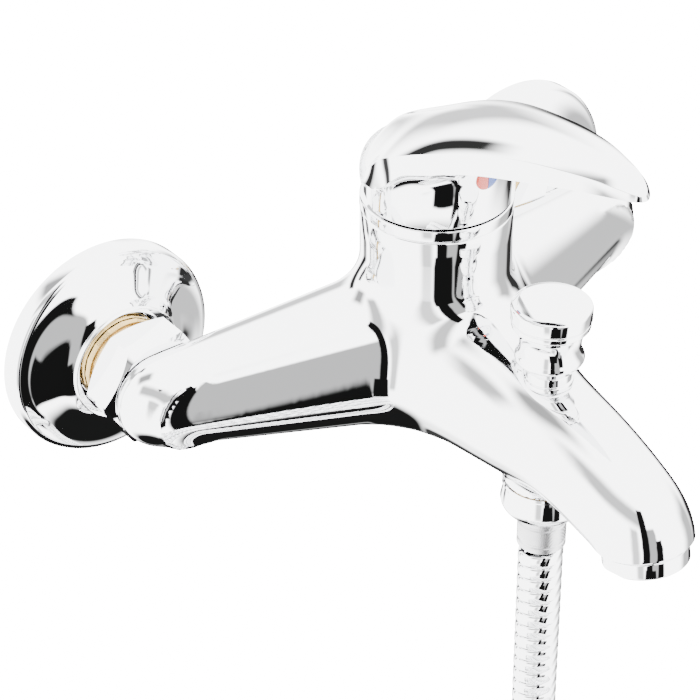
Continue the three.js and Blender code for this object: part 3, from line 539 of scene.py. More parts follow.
def combine(target: bpy.types.Object, tool: bpy.types.Object, operation: str) -> bpy.types.Object:
    """Joins, cuts or intersects two solids and removes the tool."""
    modifier = target.modifiers.new("combine", "BOOLEAN")
    modifier.operation = operation
    modifier.solver = "EXACT"
    modifier.object = tool
    graph = bpy.context.evaluated_depsgraph_get()
    target.data = bpy.data.meshes.new_from_object(target.evaluated_get(graph))
    target.modifiers.clear()
    bpy.data.objects.remove(tool)
    return target


# ---------------------------------------------------------------- implicit surfaces


def blend_min(a: Points, b: Points, reach: float) -> Points:
    """The smaller of two distances, with a fillet of that reach where they are alike."""
    share = np.clip(0.5 + 0.5 * (b - a) / reach, 0, 1)
    return b * (1 - share) + a * share - reach * share * (1 - share)


def cone_distance(
    points: Points, start: Points, end: Points, start_radius: float, end_radius: float
) -> Points:
    """Distance to a round-ended cone between two points."""
    along = end - start
    length = along @ along
    taper = start_radius - end_radius
    slant = length - taper * taper
    offset = points - start
    y = offset @ along
    z = y - length
    cross = offset * length - y[:, None] * along
    x2 = (cross * cross).sum(1)
    y2, z2 = y * y * length, z * z * length
    limit = np.sign(taper) * taper * taper * x2
    side = (np.sqrt(x2 * slant / length) + y * taper) / length - start_radius
    far = np.sqrt(x2 + z2) / length - end_radius
    near = np.sqrt(x2 + y2) / length - start_radius
    before_end = np.where(np.sign(y) * slant * y2 < limit, near, side)
    return np.where(np.sign(z) * slant * z2 > limit, far, before_end)


class ImplicitSurface:
    """Meshes the zero level of a distance field: surface nets, then a pull onto the true surface."""

    def __init__(self, distance: Callable[[Points], Points], step: float) -> None:
        """Keeps the field and the size of a cell in millimetres."""
        self.distance = distance
        self.step = step

    def mesh(self, low: Sequence[float], high: Sequence[float]) -> Shape:
        """The surface inside a box, as even quads."""
        low_corner = np.array(low, float)
        counts = np.ceil((np.array(high) - low_corner) / self.step).astype(int) + 1
        axes = [low_corner[k] + self.step * np.arange(counts[k]) for k in range(3)]
        planes = [
            self.distance(np.stack(np.meshgrid([x], axes[1], axes[2], indexing="ij"), -1).reshape(-1, 3))
            for x in axes[0]
        ]
        values = np.array(planes).reshape(counts)
        vertices, quads = self._nets(values, low_corner)
        for _ in range(4):
            vertices = self._pull(self._even(vertices, quads))
        vertices = self._pull(self._pull(vertices))
        return Shape(vertices, [tuple(quad) for quad in quads.tolist()])

    def _nets(self, values: Points, low: Points) -> tuple[Points, Points]:
        """One vertex for each cell that the surface crosses, and a quad for each crossed edge."""
        inside = values < 0
        cells = np.array(values.shape) - 1
        corners = [(i, j, k) for i in (0, 1) for j in (0, 1) for k in (0, 1)]
        place = np.zeros((*cells, 3))
        hits = np.zeros(cells)

        def corner(offset: tuple[int, ...]) -> tuple[slice, ...]:
            """The grid values at one corner of every cell."""
            return tuple(slice(offset[k], cells[k] + offset[k]) for k in range(3))

        for a in corners:
            for b in corners:
                if b <= a or sum(abs(p - q) for p, q in zip(a, b)) != 1:
                    continue
                first, second = values[corner(a)], values[corner(b)]
                crossed = (first < 0) != (second < 0)
                share = np.where(crossed, first / np.where(crossed, first - second, 1), 0)
                point = np.array(a) + share[..., None] * (np.array(b) - np.array(a))
                place += np.where(crossed[..., None], point, 0)
                hits += crossed
        active = hits > 0
        index = np.full(active.shape, -1)
        index[active] = np.arange(active.sum())
        vertices = low + self.step * (np.argwhere(active) + place[active] / hits[active][:, None])
        return vertices, np.concatenate([self._quads(inside, index, axis) for axis in range(3)])

    @staticmethod
    def _quads(inside: Points, index: Points, axis: int) -> Points:
        """The quads that cross the grid's edges along one axis."""
        u, v = [(1, 2), (2, 0), (0, 1)][axis]
        low = [slice(1, -1)] * 3
        low[axis] = slice(0, -1)
        high = list(low)
        high[axis] = slice(1, None)
        first, second = inside[tuple(low)], inside[tuple(high)]
        edges = np.argwhere(first != second)
        leaving = first[tuple(edges.T)]
        base = edges + 1
        base[:, axis] -= 1

        def cell(du: int, dv: int) -> Points:
            """The vertex of the cell beside each edge."""
            near = base.copy()
            near[:, u] -= du
            near[:, v] -= dv
            return index[tuple(near.T)]

        quads = np.stack([cell(1, 1), cell(0, 1), cell(0, 0), cell(1, 0)], 1)
        quads[~leaving] = quads[~leaving][:, ::-1]
        return quads

    def _gradient(self, points: Points, reach: float = 0.02) -> Points:
        """The field's slope, by central differences."""
        slopes = [self.distance(points + reach * e) - self.distance(points - reach * e) for e in np.eye(3)]
        return np.stack(slopes, 1) / (2 * reach)

    def _pull(self, points: Points) -> Points:
        """One Newton step onto the surface."""
        slope = self._gradient(points)
        size = np.maximum((slope * slope).sum(1), 0.05)
        return points - (self.distance(points) / size)[:, None] * slope

    @staticmethod
    def _even(points: Points, quads: Points) -> Points:
        """Moves each vertex halfway to the middle of its neighbours."""
        ends = np.concatenate([quads[:, [i, (i + 1) % 4]] for i in range(4)])
        total = np.zeros_like(points)
        count = sum(np.bincount(ends[:, side], minlength=len(points)) for side in (0, 1))
        for k in range(3):
            total[:, k] = np.bincount(ends[:, 0], points[ends[:, 1], k], len(points))
            total[:, k] += np.bincount(ends[:, 1], points[ends[:, 0], k], len(points))
        return points + 0.5 * (total / count[:, None] - points)


# ---------------------------------------------------------------- places taken from the frame


def corners(node: str) -> tuple[Points, Points]:
    """The low and high corners of a CAD node's box, in millimetres."""
    low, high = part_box(node)
    return np.array(low) / MM, np.array(high) / MM


def centre(node: str) -> Points:
    """The middle of a CAD node's box, in millimetres."""
    low, high = corners(node)
    return (low + high) / 2


def show_instead(made: bpy.types.Object, *nodes: str) -> bpy.types.Object:
    """Shows a new piece in place of CAD nodes."""
    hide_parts(*nodes)
    return made


# ---------------------------------------------------------------- the cast body


@dataclass
class Casting:
    """The brass casting: tower, two arms that turn back to the wall, spout and diverter boss."""

    tower_radius: float = 21.15
    tower_top: float = 45.6
    arm_radius: float = 13.0
    arm_root_radius: float = 24.87
    arm_depth_scale: float = 1.15
    arm_root_height: float = 3.1
    arm_end_height: float = 0.91
    arm_overhang: float = 3.06
    arm_face: float = -30.5
    arm_bore: float = 9.5
    elbow: float = -36.0
    neck_radius: float = 10.5
    boss_radius: float = 11.2
    boss_top: float = -2.0
    boss_bottom: float = -19.0
    boss_edge: float = 0.8
    neck_fillet: float = 3.0
    arm_fillet: float = 7.74
    spout_fillet: float = 6.4
    boss_fillet: float = 2.2
    outlet: tuple[float, float] = (-146.7, -15.4)
    outlet_tilt: float = math.radians(11.5)
    grid: float = 1.15
    spout_line: tuple[tuple[float, float, float], ...] = (
        (-57.3, 0.32, 24.87),
        (-80.0, 0.82, 20.96),
        (-99.0, -1.55, 17.4),
        (-117.0, -2.63, 15.05),
        (-137.18, -7.76, 13.77),
        (-145.83, -13.1, 13.14),
        (-146.9, -16.5, 12.91),
        (-145.5, -22.0, 11.5),
    )

    def __post_init__(self) -> None:
        """Takes the axes from the frame."""
        self.tower_y = centre("collar_cap")[1]
        self.inlet_x = centre("union_nut_right")[0]
        self.boss_y = centre("diverter_knob")[1]
        self.spout = Curve(self.spout_line).spread(64)

    def spout_distance(self, points: Points) -> Points:
        """Distance to the tapering spout."""
        across = (points[:, 0] * 0.95) ** 2
        near = np.stack([
            np.sqrt(across + (points[:, 1] - y) ** 2 + (points[:, 2] - z) ** 2) - radius
            for y, z, radius in self.spout
        ])
        best = np.clip(near.argmin(0), 1, len(near) - 2)
        column = np.arange(near.shape[1])
        low, mid, high = near[best - 1, column], near[best, column], near[best + 1, column]
        bend = np.maximum(low - 2 * mid + high, 1e-6)
        shift = np.clip((low - high) / (2 * bend), -1, 1)
        return mid + 0.5 * (high - low) * shift + 0.5 * bend * shift**2

    def arm_distance(self, points: Points) -> Points:
        """Distance to both arms, which mirror each other."""
        scaled = points.copy()
        scaled[:, 0] = np.abs(points[:, 0])
        scaled[:, 1] = (points[:, 1] - self.elbow) * self.arm_depth_scale + self.elbow
        root_y = (self.tower_y - self.elbow) * self.arm_depth_scale + self.elbow
        root = np.array([0.0, root_y, self.arm_root_height])
        end = np.array([self.inlet_x + self.arm_overhang, self.elbow, self.arm_end_height])
        arm = cone_distance(scaled, end, root, self.arm_radius, self.arm_root_radius)
        round_neck = np.hypot(scaled[:, 0] - self.inlet_x, points[:, 2]) - self.neck_radius
        neck = np.maximum(round_neck, np.maximum(points[:, 1] + 28.0, -46.0 - points[:, 1]))
        return blend_min(arm, neck, self.neck_fillet)

    def boss_distance(self, points: Points) -> Points:
        """Distance to the round-edged boss under the spout."""
        edge = self.boss_edge
        out = np.hypot(points[:, 0], points[:, 1] - self.boss_y) - (self.boss_radius - edge)
        middle, half = (self.boss_bottom + self.boss_top) / 2, (self.boss_top - self.boss_bottom) / 2
        up = np.abs(points[:, 2] - middle) - (half - edge)
        outside = np.hypot(np.maximum(out, 0), np.maximum(up, 0))
        return outside + np.minimum(np.maximum(out, up), 0) - edge

    def distance(self, points: Points) -> Points:
        """Distance to the whole casting's surface."""
        round_wall = np.hypot(points[:, 0], points[:, 1] - self.tower_y) - self.tower_radius
        tower = np.maximum(round_wall, np.maximum(points[:, 2] - 46.5, -10.0 - points[:, 2]))
        body = blend_min(tower, self.arm_distance(points), self.arm_fillet)
        body = blend_min(body, self.spout_distance(points), self.spout_fillet)
        return blend_min(body, self.boss_distance(points), self.boss_fillet)

    def build(self) -> bpy.types.Object:
        """Makes the casting with its machined ends."""
        shape = ImplicitSurface(self.distance, self.grid).mesh((-95, -166, -40), (95, -18, 51))
        made = shape.piece("cast_body", Slot.CHROME, Body.ROOT, 30)
        work = bmesh.new()
        work.from_mesh(made.data)
        bmesh.ops.scale(work, vec=(1000, 1000, 1000), verts=work.verts)
        self._end_tower(work)
        self._end_arms(work)
        self._end_spout(work)
        bmesh.ops.scale(work, vec=(MM, MM, MM), verts=work.verts)
        work.to_mesh(made.data)
        work.free()
        return show_instead(tidy(made, 30), "body_casting")

    def _end_tower(self, work: bmesh.types.BMesh) -> None:
        """Cuts the tower level and gives it a rim and a bore."""
        middle, up = Vector((0, self.tower_y, 0)), Vector((0, 0, 1))
        loop = cut_open(work, Vector((0, self.tower_y, 38)), up)
        bore = 18.1
        rim = [(self.tower_radius, 44.9), (20.9, 45.35), (20.5, self.tower_top)]
        rim += [(bore, self.tower_top), (bore, 4.0)]
        extend(work, loop, [round_step(middle, up, r, z) for r, z in rim])

    def _end_arms(self, work: bmesh.types.BMesh) -> None:
        """Faces the arms' ends and bores them."""
        back = Vector((0, 1, 0))
        cut_open(work, Vector((0, self.arm_face - 0.3, 0)), back)
        for loop in open_loops(work):
            side = 1 if loop[0].co.x > 0 else -1
            middle = Vector((side * self.inlet_x, 0, 0))
            extend(work, loop, [
                scale_step(middle, back, 0.975, self.arm_face),
                round_step(middle, back, self.arm_bore, self.arm_face),
                round_step(middle, back, self.arm_bore, self.arm_face - 8),
            ])

    def _end_spout(self, work: bmesh.types.BMesh) -> None:
        """Cuts the spout square to its outlet, with a small chamfer and the aerator's seat."""
        axis = Vector((0, -math.sin(self.outlet_tilt), -math.cos(self.outlet_tilt)))
        end = Vector((0, *self.outlet))
        loop = cut_open(work, end - axis * 0.5, axis, lowest_y=-130.0)
        extend(work, loop, [
            scale_step(end, axis, 0.965, 0.0),
            round_step(end, axis, 10.5, 0.0),
            round_step(end, axis, 10.5, -6.5),
        ])


def cut_open(
    work: bmesh.types.BMesh, point: Vector, normal: Vector, lowest_y: float = math.inf
) -> list[bmesh.types.BMVert]:
    """Cuts away what lies past a plane.

    Args:
        work: The mesh.
        point: A point of the plane.
        normal: Towards the part that goes.
        lowest_y: Only faces whose middle is below this Y are cut.

    Returns:
        The new edge's vertices, in order.
    """
    faces = [f for f in work.faces if f.calc_center_median().y < lowest_y]
    region = faces + [e for f in faces for e in f.edges] + [v for f in faces for v in f.verts]
    region = list(dict.fromkeys(region))
    bmesh.ops.bisect_plane(work, geom=region, plane_co=point, plane_no=normal, clear_outer=True, dist=1e-4)
    return open_loops(work)[0]


def open_loops(work: bmesh.types.BMesh) -> list[list[bmesh.types.BMVert]]:
    """The mesh's open edges as ordered loops of vertices."""
    left = {edge for edge in work.edges if len(edge.link_faces) == 1}
    loops = []
    while left:
        edge = left.pop()
        loop = [edge.verts[0], edge.verts[1]]
        while True:
            following = [e for e in loop[-1].link_edges if e in left]
            if not following:
                break
            left.discard(following[0])
            loop.append(following[0].other_vert(loop[-1]))
        loops.append(loop[:-1] if loop[-1] is loop[0] else loop)
    return loops


def round_step(middle: Vector, axis: Vector, radius: float, height: float) -> Callable[[Vector], Vector]:
    """A step that puts a point on an exact circle round an axis."""

    def step(place: Vector) -> Vector:
        """The point on the circle nearest to this one's spoke."""
        arm = place - middle
        arm -= axis * arm.dot(axis)
        return middle + arm.normalized() * radius + axis * height

    return step


def scale_step(middle: Vector, axis: Vector, share: float, height: float) -> Callable[[Vector], Vector]:
    """A step that draws a point towards an axis and puts it at a height along it."""

    def step(place: Vector) -> Vector:
        """The drawn-in point."""
        arm = place - middle
        arm -= axis * arm.dot(axis)
        return middle + arm * share + axis * height

    return step


def extend(
    work: bmesh.types.BMesh,
    loop: list[bmesh.types.BMVert],
    steps: Sequence[Callable[[Vector], Vector]],
) -> None:
    """Grows rings of faces from an open loop, one for each step, and closes the last with a face."""
    for step in steps:
        grown = [work.verts.new(step(vertex.co)) for vertex in loop]
        for i, vertex in enumerate(loop):
            j = (i + 1) % len(loop)
            work.faces.new((vertex, loop[j], grown[j], grown[i]))
        loop = grown
    work.faces.new(loop)


# ---------------------------------------------------------------- wall connections


@dataclass
class WallConnection:
    """A wall flange and the hexagon nut that draws the arm against it."""

    side: str
    rim_radius: float = 32.1
    rim_depth: float = 6.1
    neck_radius: float = 17.3
    bore: float = 12.9
    depth: float = 14.4
    nut_flats: float = 30.0

    def build(self) -> None:
        """Makes both pieces."""
        self.flange()
        self.nut()

    def flange(self) -> bpy.types.Object:
        """The spun cover: a rounded rim, a bell and a turned neck ring."""
        wall = 1.2
        bell = Curve([(30.9, 6.35), (28.5, 7.0), (25.0, 8.6), (21.5, 10.6), (18.8, 12.2), (17.2, 12.9)])
        rim, deep = self.rim_radius, self.rim_depth
        outer = [(rim - 0.6, 0.0), (rim, 0.5), (rim, deep - 1.3)]
        outer += [(rim - 0.35, deep - 0.45), (rim - 1.0, deep + 0.1)]
        outer += [tuple(p) for p in bell.spread(20)]
        neck = rounded([
            (self.neck_radius - 0.15, 13.0, 0.05),
            (self.neck_radius, 13.15, 0.1),
            (self.neck_radius, self.depth, 0.45),
            (self.bore, self.depth, 0.3),
            (self.bore, 11.5, 0.1),
        ], 4)
        inner = [(r - wall * 0.3, h - wall) for r, h in reversed(outer[6:])]
        inner += [(rim - wall, deep - wall), (rim - wall, 0.0)]
        place = centre(f"wall_flange_{self.side}")
        high = corners(f"wall_flange_{self.side}")[1]
        shape = Shape.turned(outer + neck + inner, 144).tilted(math.pi / 2)
        shape = shape.moved(place[0], high[1], place[2])
        made = shape.piece(f"flange_{self.side}", Slot.CHROME, Body.ROOT, 28)
        return show_instead(made, f"wall_flange_{self.side}")

    def nut(self) -> bpy.types.Object:
        """The hexagon nut, with turned chamfers and softened corners."""
        node = f"union_nut_{self.side}"
        low, high = corners(node)
        length = high[1] - low[1]
        half = self.nut_flats / 2
        spokes = [(math.cos(i * math.pi / 3), math.sin(i * math.pi / 3)) for i in range(6)]
        reach = half / math.cos(math.pi / 6)
        hexagon = [np.array([(reach * c, reach * s, h) for c, s in spokes]) for h in (0.0, length)]
        place = centre(node)

        def put(shape: Shape) -> Shape:
            """Turns a shape onto the nut's axis."""
            return shape.tilted(math.pi / 2).moved(place[0], high[1], place[2])

        made = put(Shape.rings(hexagon)).piece(f"hexagon_nut_{self.side}", Slot.CHROME, Body.ROOT)
        turned = [(0, 0), (half - 0.3, 0), (reach + 0.3, 1.7), (reach + 0.3, length - 1.7)]
        turned += [(half - 0.3, length), (0, length)]
        combine(made, put(Shape.turned(turned)).piece("chamfer", Slot.CHROME, Body.ROOT), "INTERSECT")
        hole = [(0, -1), (12.3, -1), (12.3, length + 1), (0, length + 1)]
        combine(made, put(Shape.turned(hole)).piece("bore", Slot.CHROME, Body.ROOT), "DIFFERENCE")
        bevel(made, 0.28)
        return show_instead(dress(tidy(made, 28), Slot.CHROME, Body.ROOT), node)


def bevel(made: bpy.types.Object, width: float) -> None:
    """Rounds a piece's crisp edges by a width in millimetres."""
    modifier = made.modifiers.new("soft_edges", "BEVEL")
    modifier.width = width * MM
    modifier.segments = 3
    modifier.limit_method = "ANGLE"
    modifier.angle_limit = math.radians(24)
    graph = bpy.context.evaluated_depsgraph_get()
    made.data = bpy.data.meshes.new_from_object(made.evaluated_get(graph))
    made.modifiers.clear()


# ---------------------------------------------------------------- collar and lever


@dataclass
class Collar:
    """The ring on the tower, and the dome that the lever rides over."""

    radius: float = 21.25
    dome_radius: float = 16.6
    dome_wall: float = 0.8
    dome_opening: float = 12.6
    foot: float = 2.2
    pivot_height: float = 50.4
    ring_top: float = 49.3

    def build(self) -> None:
        """Makes the ring and the dome."""
        bottom = corners("collar_cap")[0][2]
        place = centre("collar_cap")
        recess = self.dome_radius + self.foot + 0.3
        ring = rounded([
            (self.dome_radius + 0.3, bottom + 1.3),
            (recess, bottom + 1.3),
            (recess, bottom),
            (self.radius, bottom, 0.35),
            (self.radius, self.ring_top, 0.5),
            (self.dome_radius + 0.3, self.ring_top, 0.3),
        ])
        inner = self.dome_radius - self.dome_wall
        foot = self.dome_radius + self.foot
        outline = [(inner, bottom), (foot, bottom), (foot, bottom + 1)]
        start = math.asin((bottom + 1 - self.pivot_height) / self.dome_radius)
        outline += self.arc(self.dome_radius, start, math.acos(self.dome_opening / self.dome_radius))
        outline += self.arc(inner, math.acos(self.dome_opening / inner), 0.0)
        for name, node, shape in (
            ("collar_ring", "collar_cap", ring),
            ("tilting_dome", "cartridge_dome", outline),
        ):
            turned = Shape.turned(shape, 128).moved(place[0], place[1])
            show_instead(turned.piece(name, Slot.CHROME, Body.ROOT), node)

    def arc(self, radius: float, start: float, end: float) -> list[tuple[float, float]]:
        """An arc of the outline about the pivot."""
        angles = np.linspace(start, end, 16)
        return [(radius * math.cos(a), self.pivot_height + radius * math.sin(a)) for a in angles]


@dataclass
class Lever:
    """The one-piece lever: a round hub that flares into a long leaf with a crisp crease."""

    hub_radius: float = 21.2
    hub_bottom: float = 49.95
    cavity_radius: float = 17.6
    pivot_height: float = 50.4
    lift: float = math.radians(26.5)
    hollow: float = 1.2
    front_flare: float = 6.0
    samples: int = 320
    ridge: tuple[tuple[float, float], ...] = (
        (-45.0, 67.8), (-51.0, 71.4), (-57.3, 74.9), (-66.0, 79.5), (-74.0, 82.9), (-80.5, 85.1),
        (-91.0, 87.7), (-103.0, 89.6), (-115.5, 90.5), (-126.0, 90.2), (-131.0, 89.5),
    )
    crease: tuple[tuple[float, float, float], ...] = (
        (0, -38.0, 60.4), (9.8, -40.4, 59.8), (17.2, -47.9, 58.8), (20.7, -57.6, 66.4), (21.3, -66.0, 71.9),
        (20.2, -74.0, 75.8), (18.5, -80.5, 78.4), (15.6, -91.0, 82.0), (12.6, -103.0, 85.2),
        (9.6, -115.5, 87.3), (6.6, -126.0, 88.0), (3.9, -133.5, 87.6), (0, -138.0, 86.6),
    )
    edge: tuple[tuple[float, float, float], ...] = (
        (0, -37.0, 53.0), (10.2, -39.6, 53.3), (18.0, -47.1, 54.8), (21.4, -57.3, 57.8), (22.6, -64.5, 63.4),
        (22.2, -70.0, 68.2), (21.2, -76.5, 71.0), (19.6, -84.0, 74.2), (17.2, -94.0, 77.8),
        (15.2, -105.0, 81.0), (11.9, -117.0, 83.7), (8.2, -127.5, 85.3), (4.6, -134.6, 85.6),
        (0, -138.6, 85.4),
    )

    def __post_init__(self) -> None:
        """Takes the axis from the frame."""
        self.axis_y = centre("collar_cap")[1]

    def outline(self, half: Sequence[Sequence[float]]) -> Curve:
        """A closed outline from its right half."""
        left = [(-x, y, z) for x, y, z in half[-2:0:-1]]
        return Curve([*half, *left], closed=True)

    def bearing(self, points: Points) -> Points:
        """Each point's bearing from the hub's axis, zero towards the back."""
        return np.arctan2(points[:, 0], points[:, 1] - self.axis_y)

    def at_bearings(self, curve: Curve, bearings: Points) -> Points:
        """The curve's points at those bearings."""
        dense = curve.spread(4001)[:-1]
        order = np.argsort(self.bearing(dense))
        known = self.bearing(dense)[order]
        columns = [np.interp(bearings, known, dense[order, k], period=2 * math.pi) for k in range(3)]
        return np.stack(columns, 1)

    def relieved(self, ring: Points) -> Points:
        """Raises what would meet the collar behind the hub when the lever is lifted."""
        behind = np.maximum(ring[:, 1] - self.axis_y, 0)
        lowest = self.hub_bottom + 0.05 + behind * math.tan(self.lift)
        lifted = ring.copy()
        lifted[:, 2] = np.where(behind > 0, np.maximum(ring[:, 2], lowest), ring[:, 2])
        return lifted

    def circle(self, bearings: Points, radius: float, height: Points | float) -> Points:
        """A ring round the hub's axis."""
        x, y = radius * np.sin(bearings), self.axis_y + radius * np.cos(bearings)
        return np.stack([x, y, np.broadcast_to(height, x.shape)], 1)

    def top_rings(self, crease: Points) -> list[Points]:
        """Rings from the ridge out to the crease."""
        middle = (self.crease[0][1] + self.crease[-1][1]) / 2
        y = middle + (crease[:, 1] - middle) * 0.86
        high = Curve(self.ridge).spread(400)[::-1]
        ridge = np.stack([np.zeros_like(y), y, np.interp(y, high[:, 0], high[:, 1])], 1)
        shares = [1.0, 0.94, 0.86, 0.77, 0.68, 0.58, 0.48, 0.38, 0.29, 0.2, 0.13, 0.07, 0.03, 0.01]
        rings = []
        for share in shares:
            ring = crease + (ridge - crease) * share
            ring[:, 2] = crease[:, 2] + (ridge[:, 2] - crease[:, 2]) * (1 - (1 - share) ** 2)
            rings.append(ring)
        return rings

    def rings(self) -> list[Points]:
        """Every ring, from the ridge over the crease and the band, and under to the hub's cavity."""
        crease = self.outline(self.crease).spread(self.samples + 1)[:-1]
        bearings = self.bearing(crease)
        edge = self.relieved(self.at_bearings(self.outline(self.edge), bearings))
        rings = self.top_rings(crease) + [crease]
        rings += [crease + (edge - crease) * share for share in (0.05, 0.3, 0.6, 0.9)]
        underside = len(rings)
        rings.append(edge)
        reach = np.hypot(edge[:, 0], edge[:, 1] - self.axis_y)
        flare = np.clip(reach - self.hub_radius, 0.05, 9.0)
        for share in (0.99, 0.9, 0.7, 0.45, 0.2, 0.0):
            out = self.hub_radius + flare + (reach - self.hub_radius - flare) * share
            rings.append(self.under(bearings, out, share))
        front = np.clip(-np.cos(bearings), 0, 1) ** 2
        base = self.under(bearings, self.hub_radius + flare, 0.0)
        drop = np.clip(base[:, 2] - 50.9, 0.05, 7.0 + self.front_flare * front)
        for turn in np.linspace(0, math.pi / 2, 9)[1:]:
            ring = self.under(bearings, self.hub_radius + flare * (1 - math.sin(turn)), 0.0)
            ring[:, 2] += (base[:, 2] - ring[:, 2]) * math.sin(turn) - drop * (1 - math.cos(turn))
            rings.append(ring)
        for radius, height in ((self.hub_radius, 50.45), (20.9, self.hub_bottom), (18.1, self.hub_bottom)):
            rings.append(self.circle(bearings, radius, height))
        for angle in np.radians([0, 12, 24, 36, 48, 60, 72, 82]):
            height = self.pivot_height + self.cavity_radius * math.sin(angle)
            rings.append(self.circle(bearings, self.cavity_radius * math.cos(angle), height))
        return rings[:underside] + [self.relieved(ring) for ring in rings[underside:]]

    def under(self, bearings: Points, out: Points, share: float) -> Points:
        """Points of the lever's hollowed underside, at a distance out from the hub's axis."""
        dense = self.outline(self.edge).spread(2001)
        right = dense[dense[:, 0] >= 0]
        right = right[np.argsort(right[:, 1])]
        ring = self.circle(bearings, out, 0.0)
        ring[:, 2] = np.interp(ring[:, 1], right[:, 1], right[:, 2])
        away = np.abs(ring[:, 1] - self.axis_y)
        ring[:, 2] += self.hollow * (1 - share**2) * np.clip((away - 24) / 12, 0, 1)
        return ring

    def build(self) -> None:
        """Makes the lever and its two-colour button."""
        shape = Shape.rings(self.rings(), caps=True)
        shape.faces.pop(-2)
        made = shape.piece("leaf_lever", Slot.CHROME, Body.LEVER, 32)
        show_instead(made, "lever_handle")
        self.button()

    def button(self) -> None:
        """The red and the blue half of the button, each with a softly domed face."""
        for node, slot, side in (
            ("indicator_hot", Slot.RED_PLASTIC, -1),
            ("indicator_cold", Slot.BLUE_PLASTIC, 1),
        ):
            low, high = corners(node)
            radius = (high[2] - low[2]) / 2
            depth = high[1] - low[1]
            outline = [(0, 0), (radius, 0), (radius, depth - 0.45), (radius - 0.12, depth - 0.2)]
            outline += [(radius - 0.45, depth), (radius * 0.6, depth + 0.16), (0, depth + 0.22)]
            shape = Shape.turned(outline, 72).tilted(math.pi / 2)
            shape = shape.moved(0, high[1], (low[2] + high[2]) / 2)
            piece = shape.piece(node + "_button", slot, Body.LEVER, 30)
            wedge = Shape.rings(box_rings((0.08 * side, -20, -20), (12 * side, 20, 20)))
            wedge = wedge.moved(0, high[1], (low[2] + high[2]) / 2)
            combine(piece, wedge.piece("half", slot, Body.LEVER), "INTERSECT")
            show_instead(dress(tidy(piece, 30), slot, Body.LEVER), node)


def box_rings(first: Sequence[float], second: Sequence[float]) -> list[Points]:
    """A box as two rings, from any two opposite corners."""
    low, high = np.minimum(first, second), np.maximum(first, second)
    square = [(low[0], low[1]), (high[0], low[1]), (high[0], high[1]), (low[0], high[1])]
    return [np.array([(x, y, z) for x, y in square]) for z in (low[2], high[2])]


# ---------------------------------------------------------------- diverter and outlet


@dataclass
class Diverter:
    """The pull-up knob on the spout and the small collar that its rod comes out of."""

    cap_radius: float = 11.0
    waist_radius: float = 8.4
    foot_radius: float = 9.45
    bushing_radius: float = 6.2

    def build(self) -> None:
        """Makes the knob and the collar."""
        low, high = corners("diverter_knob")
        place = centre("diverter_knob")
        top = high[2]
        head = rounded([
            (0, top),
            (self.cap_radius - 1.6, top, 3.0),
            (self.cap_radius, top - 0.35, 0.9),
            (self.cap_radius, top - 4.2, 0.3),
            (self.cap_radius - 0.7, top - 4.35, 0.1),
            (self.cap_radius - 0.7, top - 4.75, 0.1),
            (self.cap_radius - 0.3, top - 4.95, 0.2),
            (self.cap_radius - 0.3, top - 6.3, 0.5),
            (self.cap_radius - 0.9, top - 6.8, 0.3),
        ])
        waist = Curve([
            (10.0, top - 7.0), (9.2, top - 8.4), (8.6, top - 10.3), (self.waist_radius, top - 12.1),
            (8.55, top - 13.9), (8.95, top - 15.1), (9.35, top - 15.8), (self.foot_radius, top - 16.4),
            (9.25, top - 17.1), (8.7, top - 17.6),
        ]).spread(34)
        foot = [(7.4, low[2] + 0.55), (6.9, low[2] + 0.1), (6.6, low[2]), (0, low[2])]
        outline = [*head, *[tuple(p) for p in waist], *foot]
        turned = Shape.turned(outline, 128).moved(place[0], place[1])
        show_instead(turned.piece("pull_knob", Slot.CHROME, Body.DIVERTER, 28), "diverter_knob")
        self.bushing()

    def bushing(self) -> None:
        """The collar round the rod, sunk a little into the spout."""
        low, high = corners("diverter_bushing")
        place = centre("diverter_bushing")
        outline = rounded([
            (2.3, low[2]),
            (4.4, low[2]),
            (4.4, 13.6),
            (self.bushing_radius + 0.6, 13.6, 0.2),
            (self.bushing_radius + 0.6, 15.0, 0.3),
            (self.bushing_radius, 15.3, 0.2),
            (self.bushing_radius, high[2], 0.6),
            (2.3, high[2], 0.3),
        ], 4)
        made = Shape.turned(outline, 96).moved(place[0], place[1])
        show_instead(made.piece("rod_collar", Slot.CHROME, Body.ROOT, 28), "diverter_bushing")


@dataclass
class Aerator:
    """The screwed ring at the spout's end, with two wrench notches."""

    radius: float = 11.8
    height: float = 5.6
    bore: float = 9.2
    casting: Casting = field(default_factory=Casting)

    def build(self) -> None:
        """Makes the ring in the outlet's tilted frame."""
        outline = rounded([
            (self.bore, -0.35),
            (self.radius - 0.9, -0.35, 0.1),
            (self.radius - 0.5, -0.75, 0.15),
            (self.radius, -1.0, 0.3),
            (self.radius, -self.height, 0.55),
            (self.bore + 0.5, -self.height, 0.4),
            (self.bore, -self.height + 0.7, 0.2),
        ], 4)
        made = self.put(Shape.turned(outline, 128)).piece("aerator_ring", Slot.CHROME, Body.ROOT, 28)
        for side in (-1, 1):
            notch = Shape.rings(box_rings((side * 10.9, -5.0, -8.0), (side * 14.0, 5.0, -3.3)))
            combine(made, self.put(notch).piece("notch", Slot.CHROME, Body.ROOT), "DIFFERENCE")
        bevel(made, 0.15)
        show_instead(dress(tidy(made, 28), Slot.CHROME, Body.ROOT), "aerator_housing")

    def put(self, shape: Shape) -> Shape:
        """Moves a shape from the outlet's frame to the object's."""
        return shape.tilted(-self.casting.outlet_tilt).moved(0, *self.casting.outlet)


# ---------------------------------------------------------------- shower hose


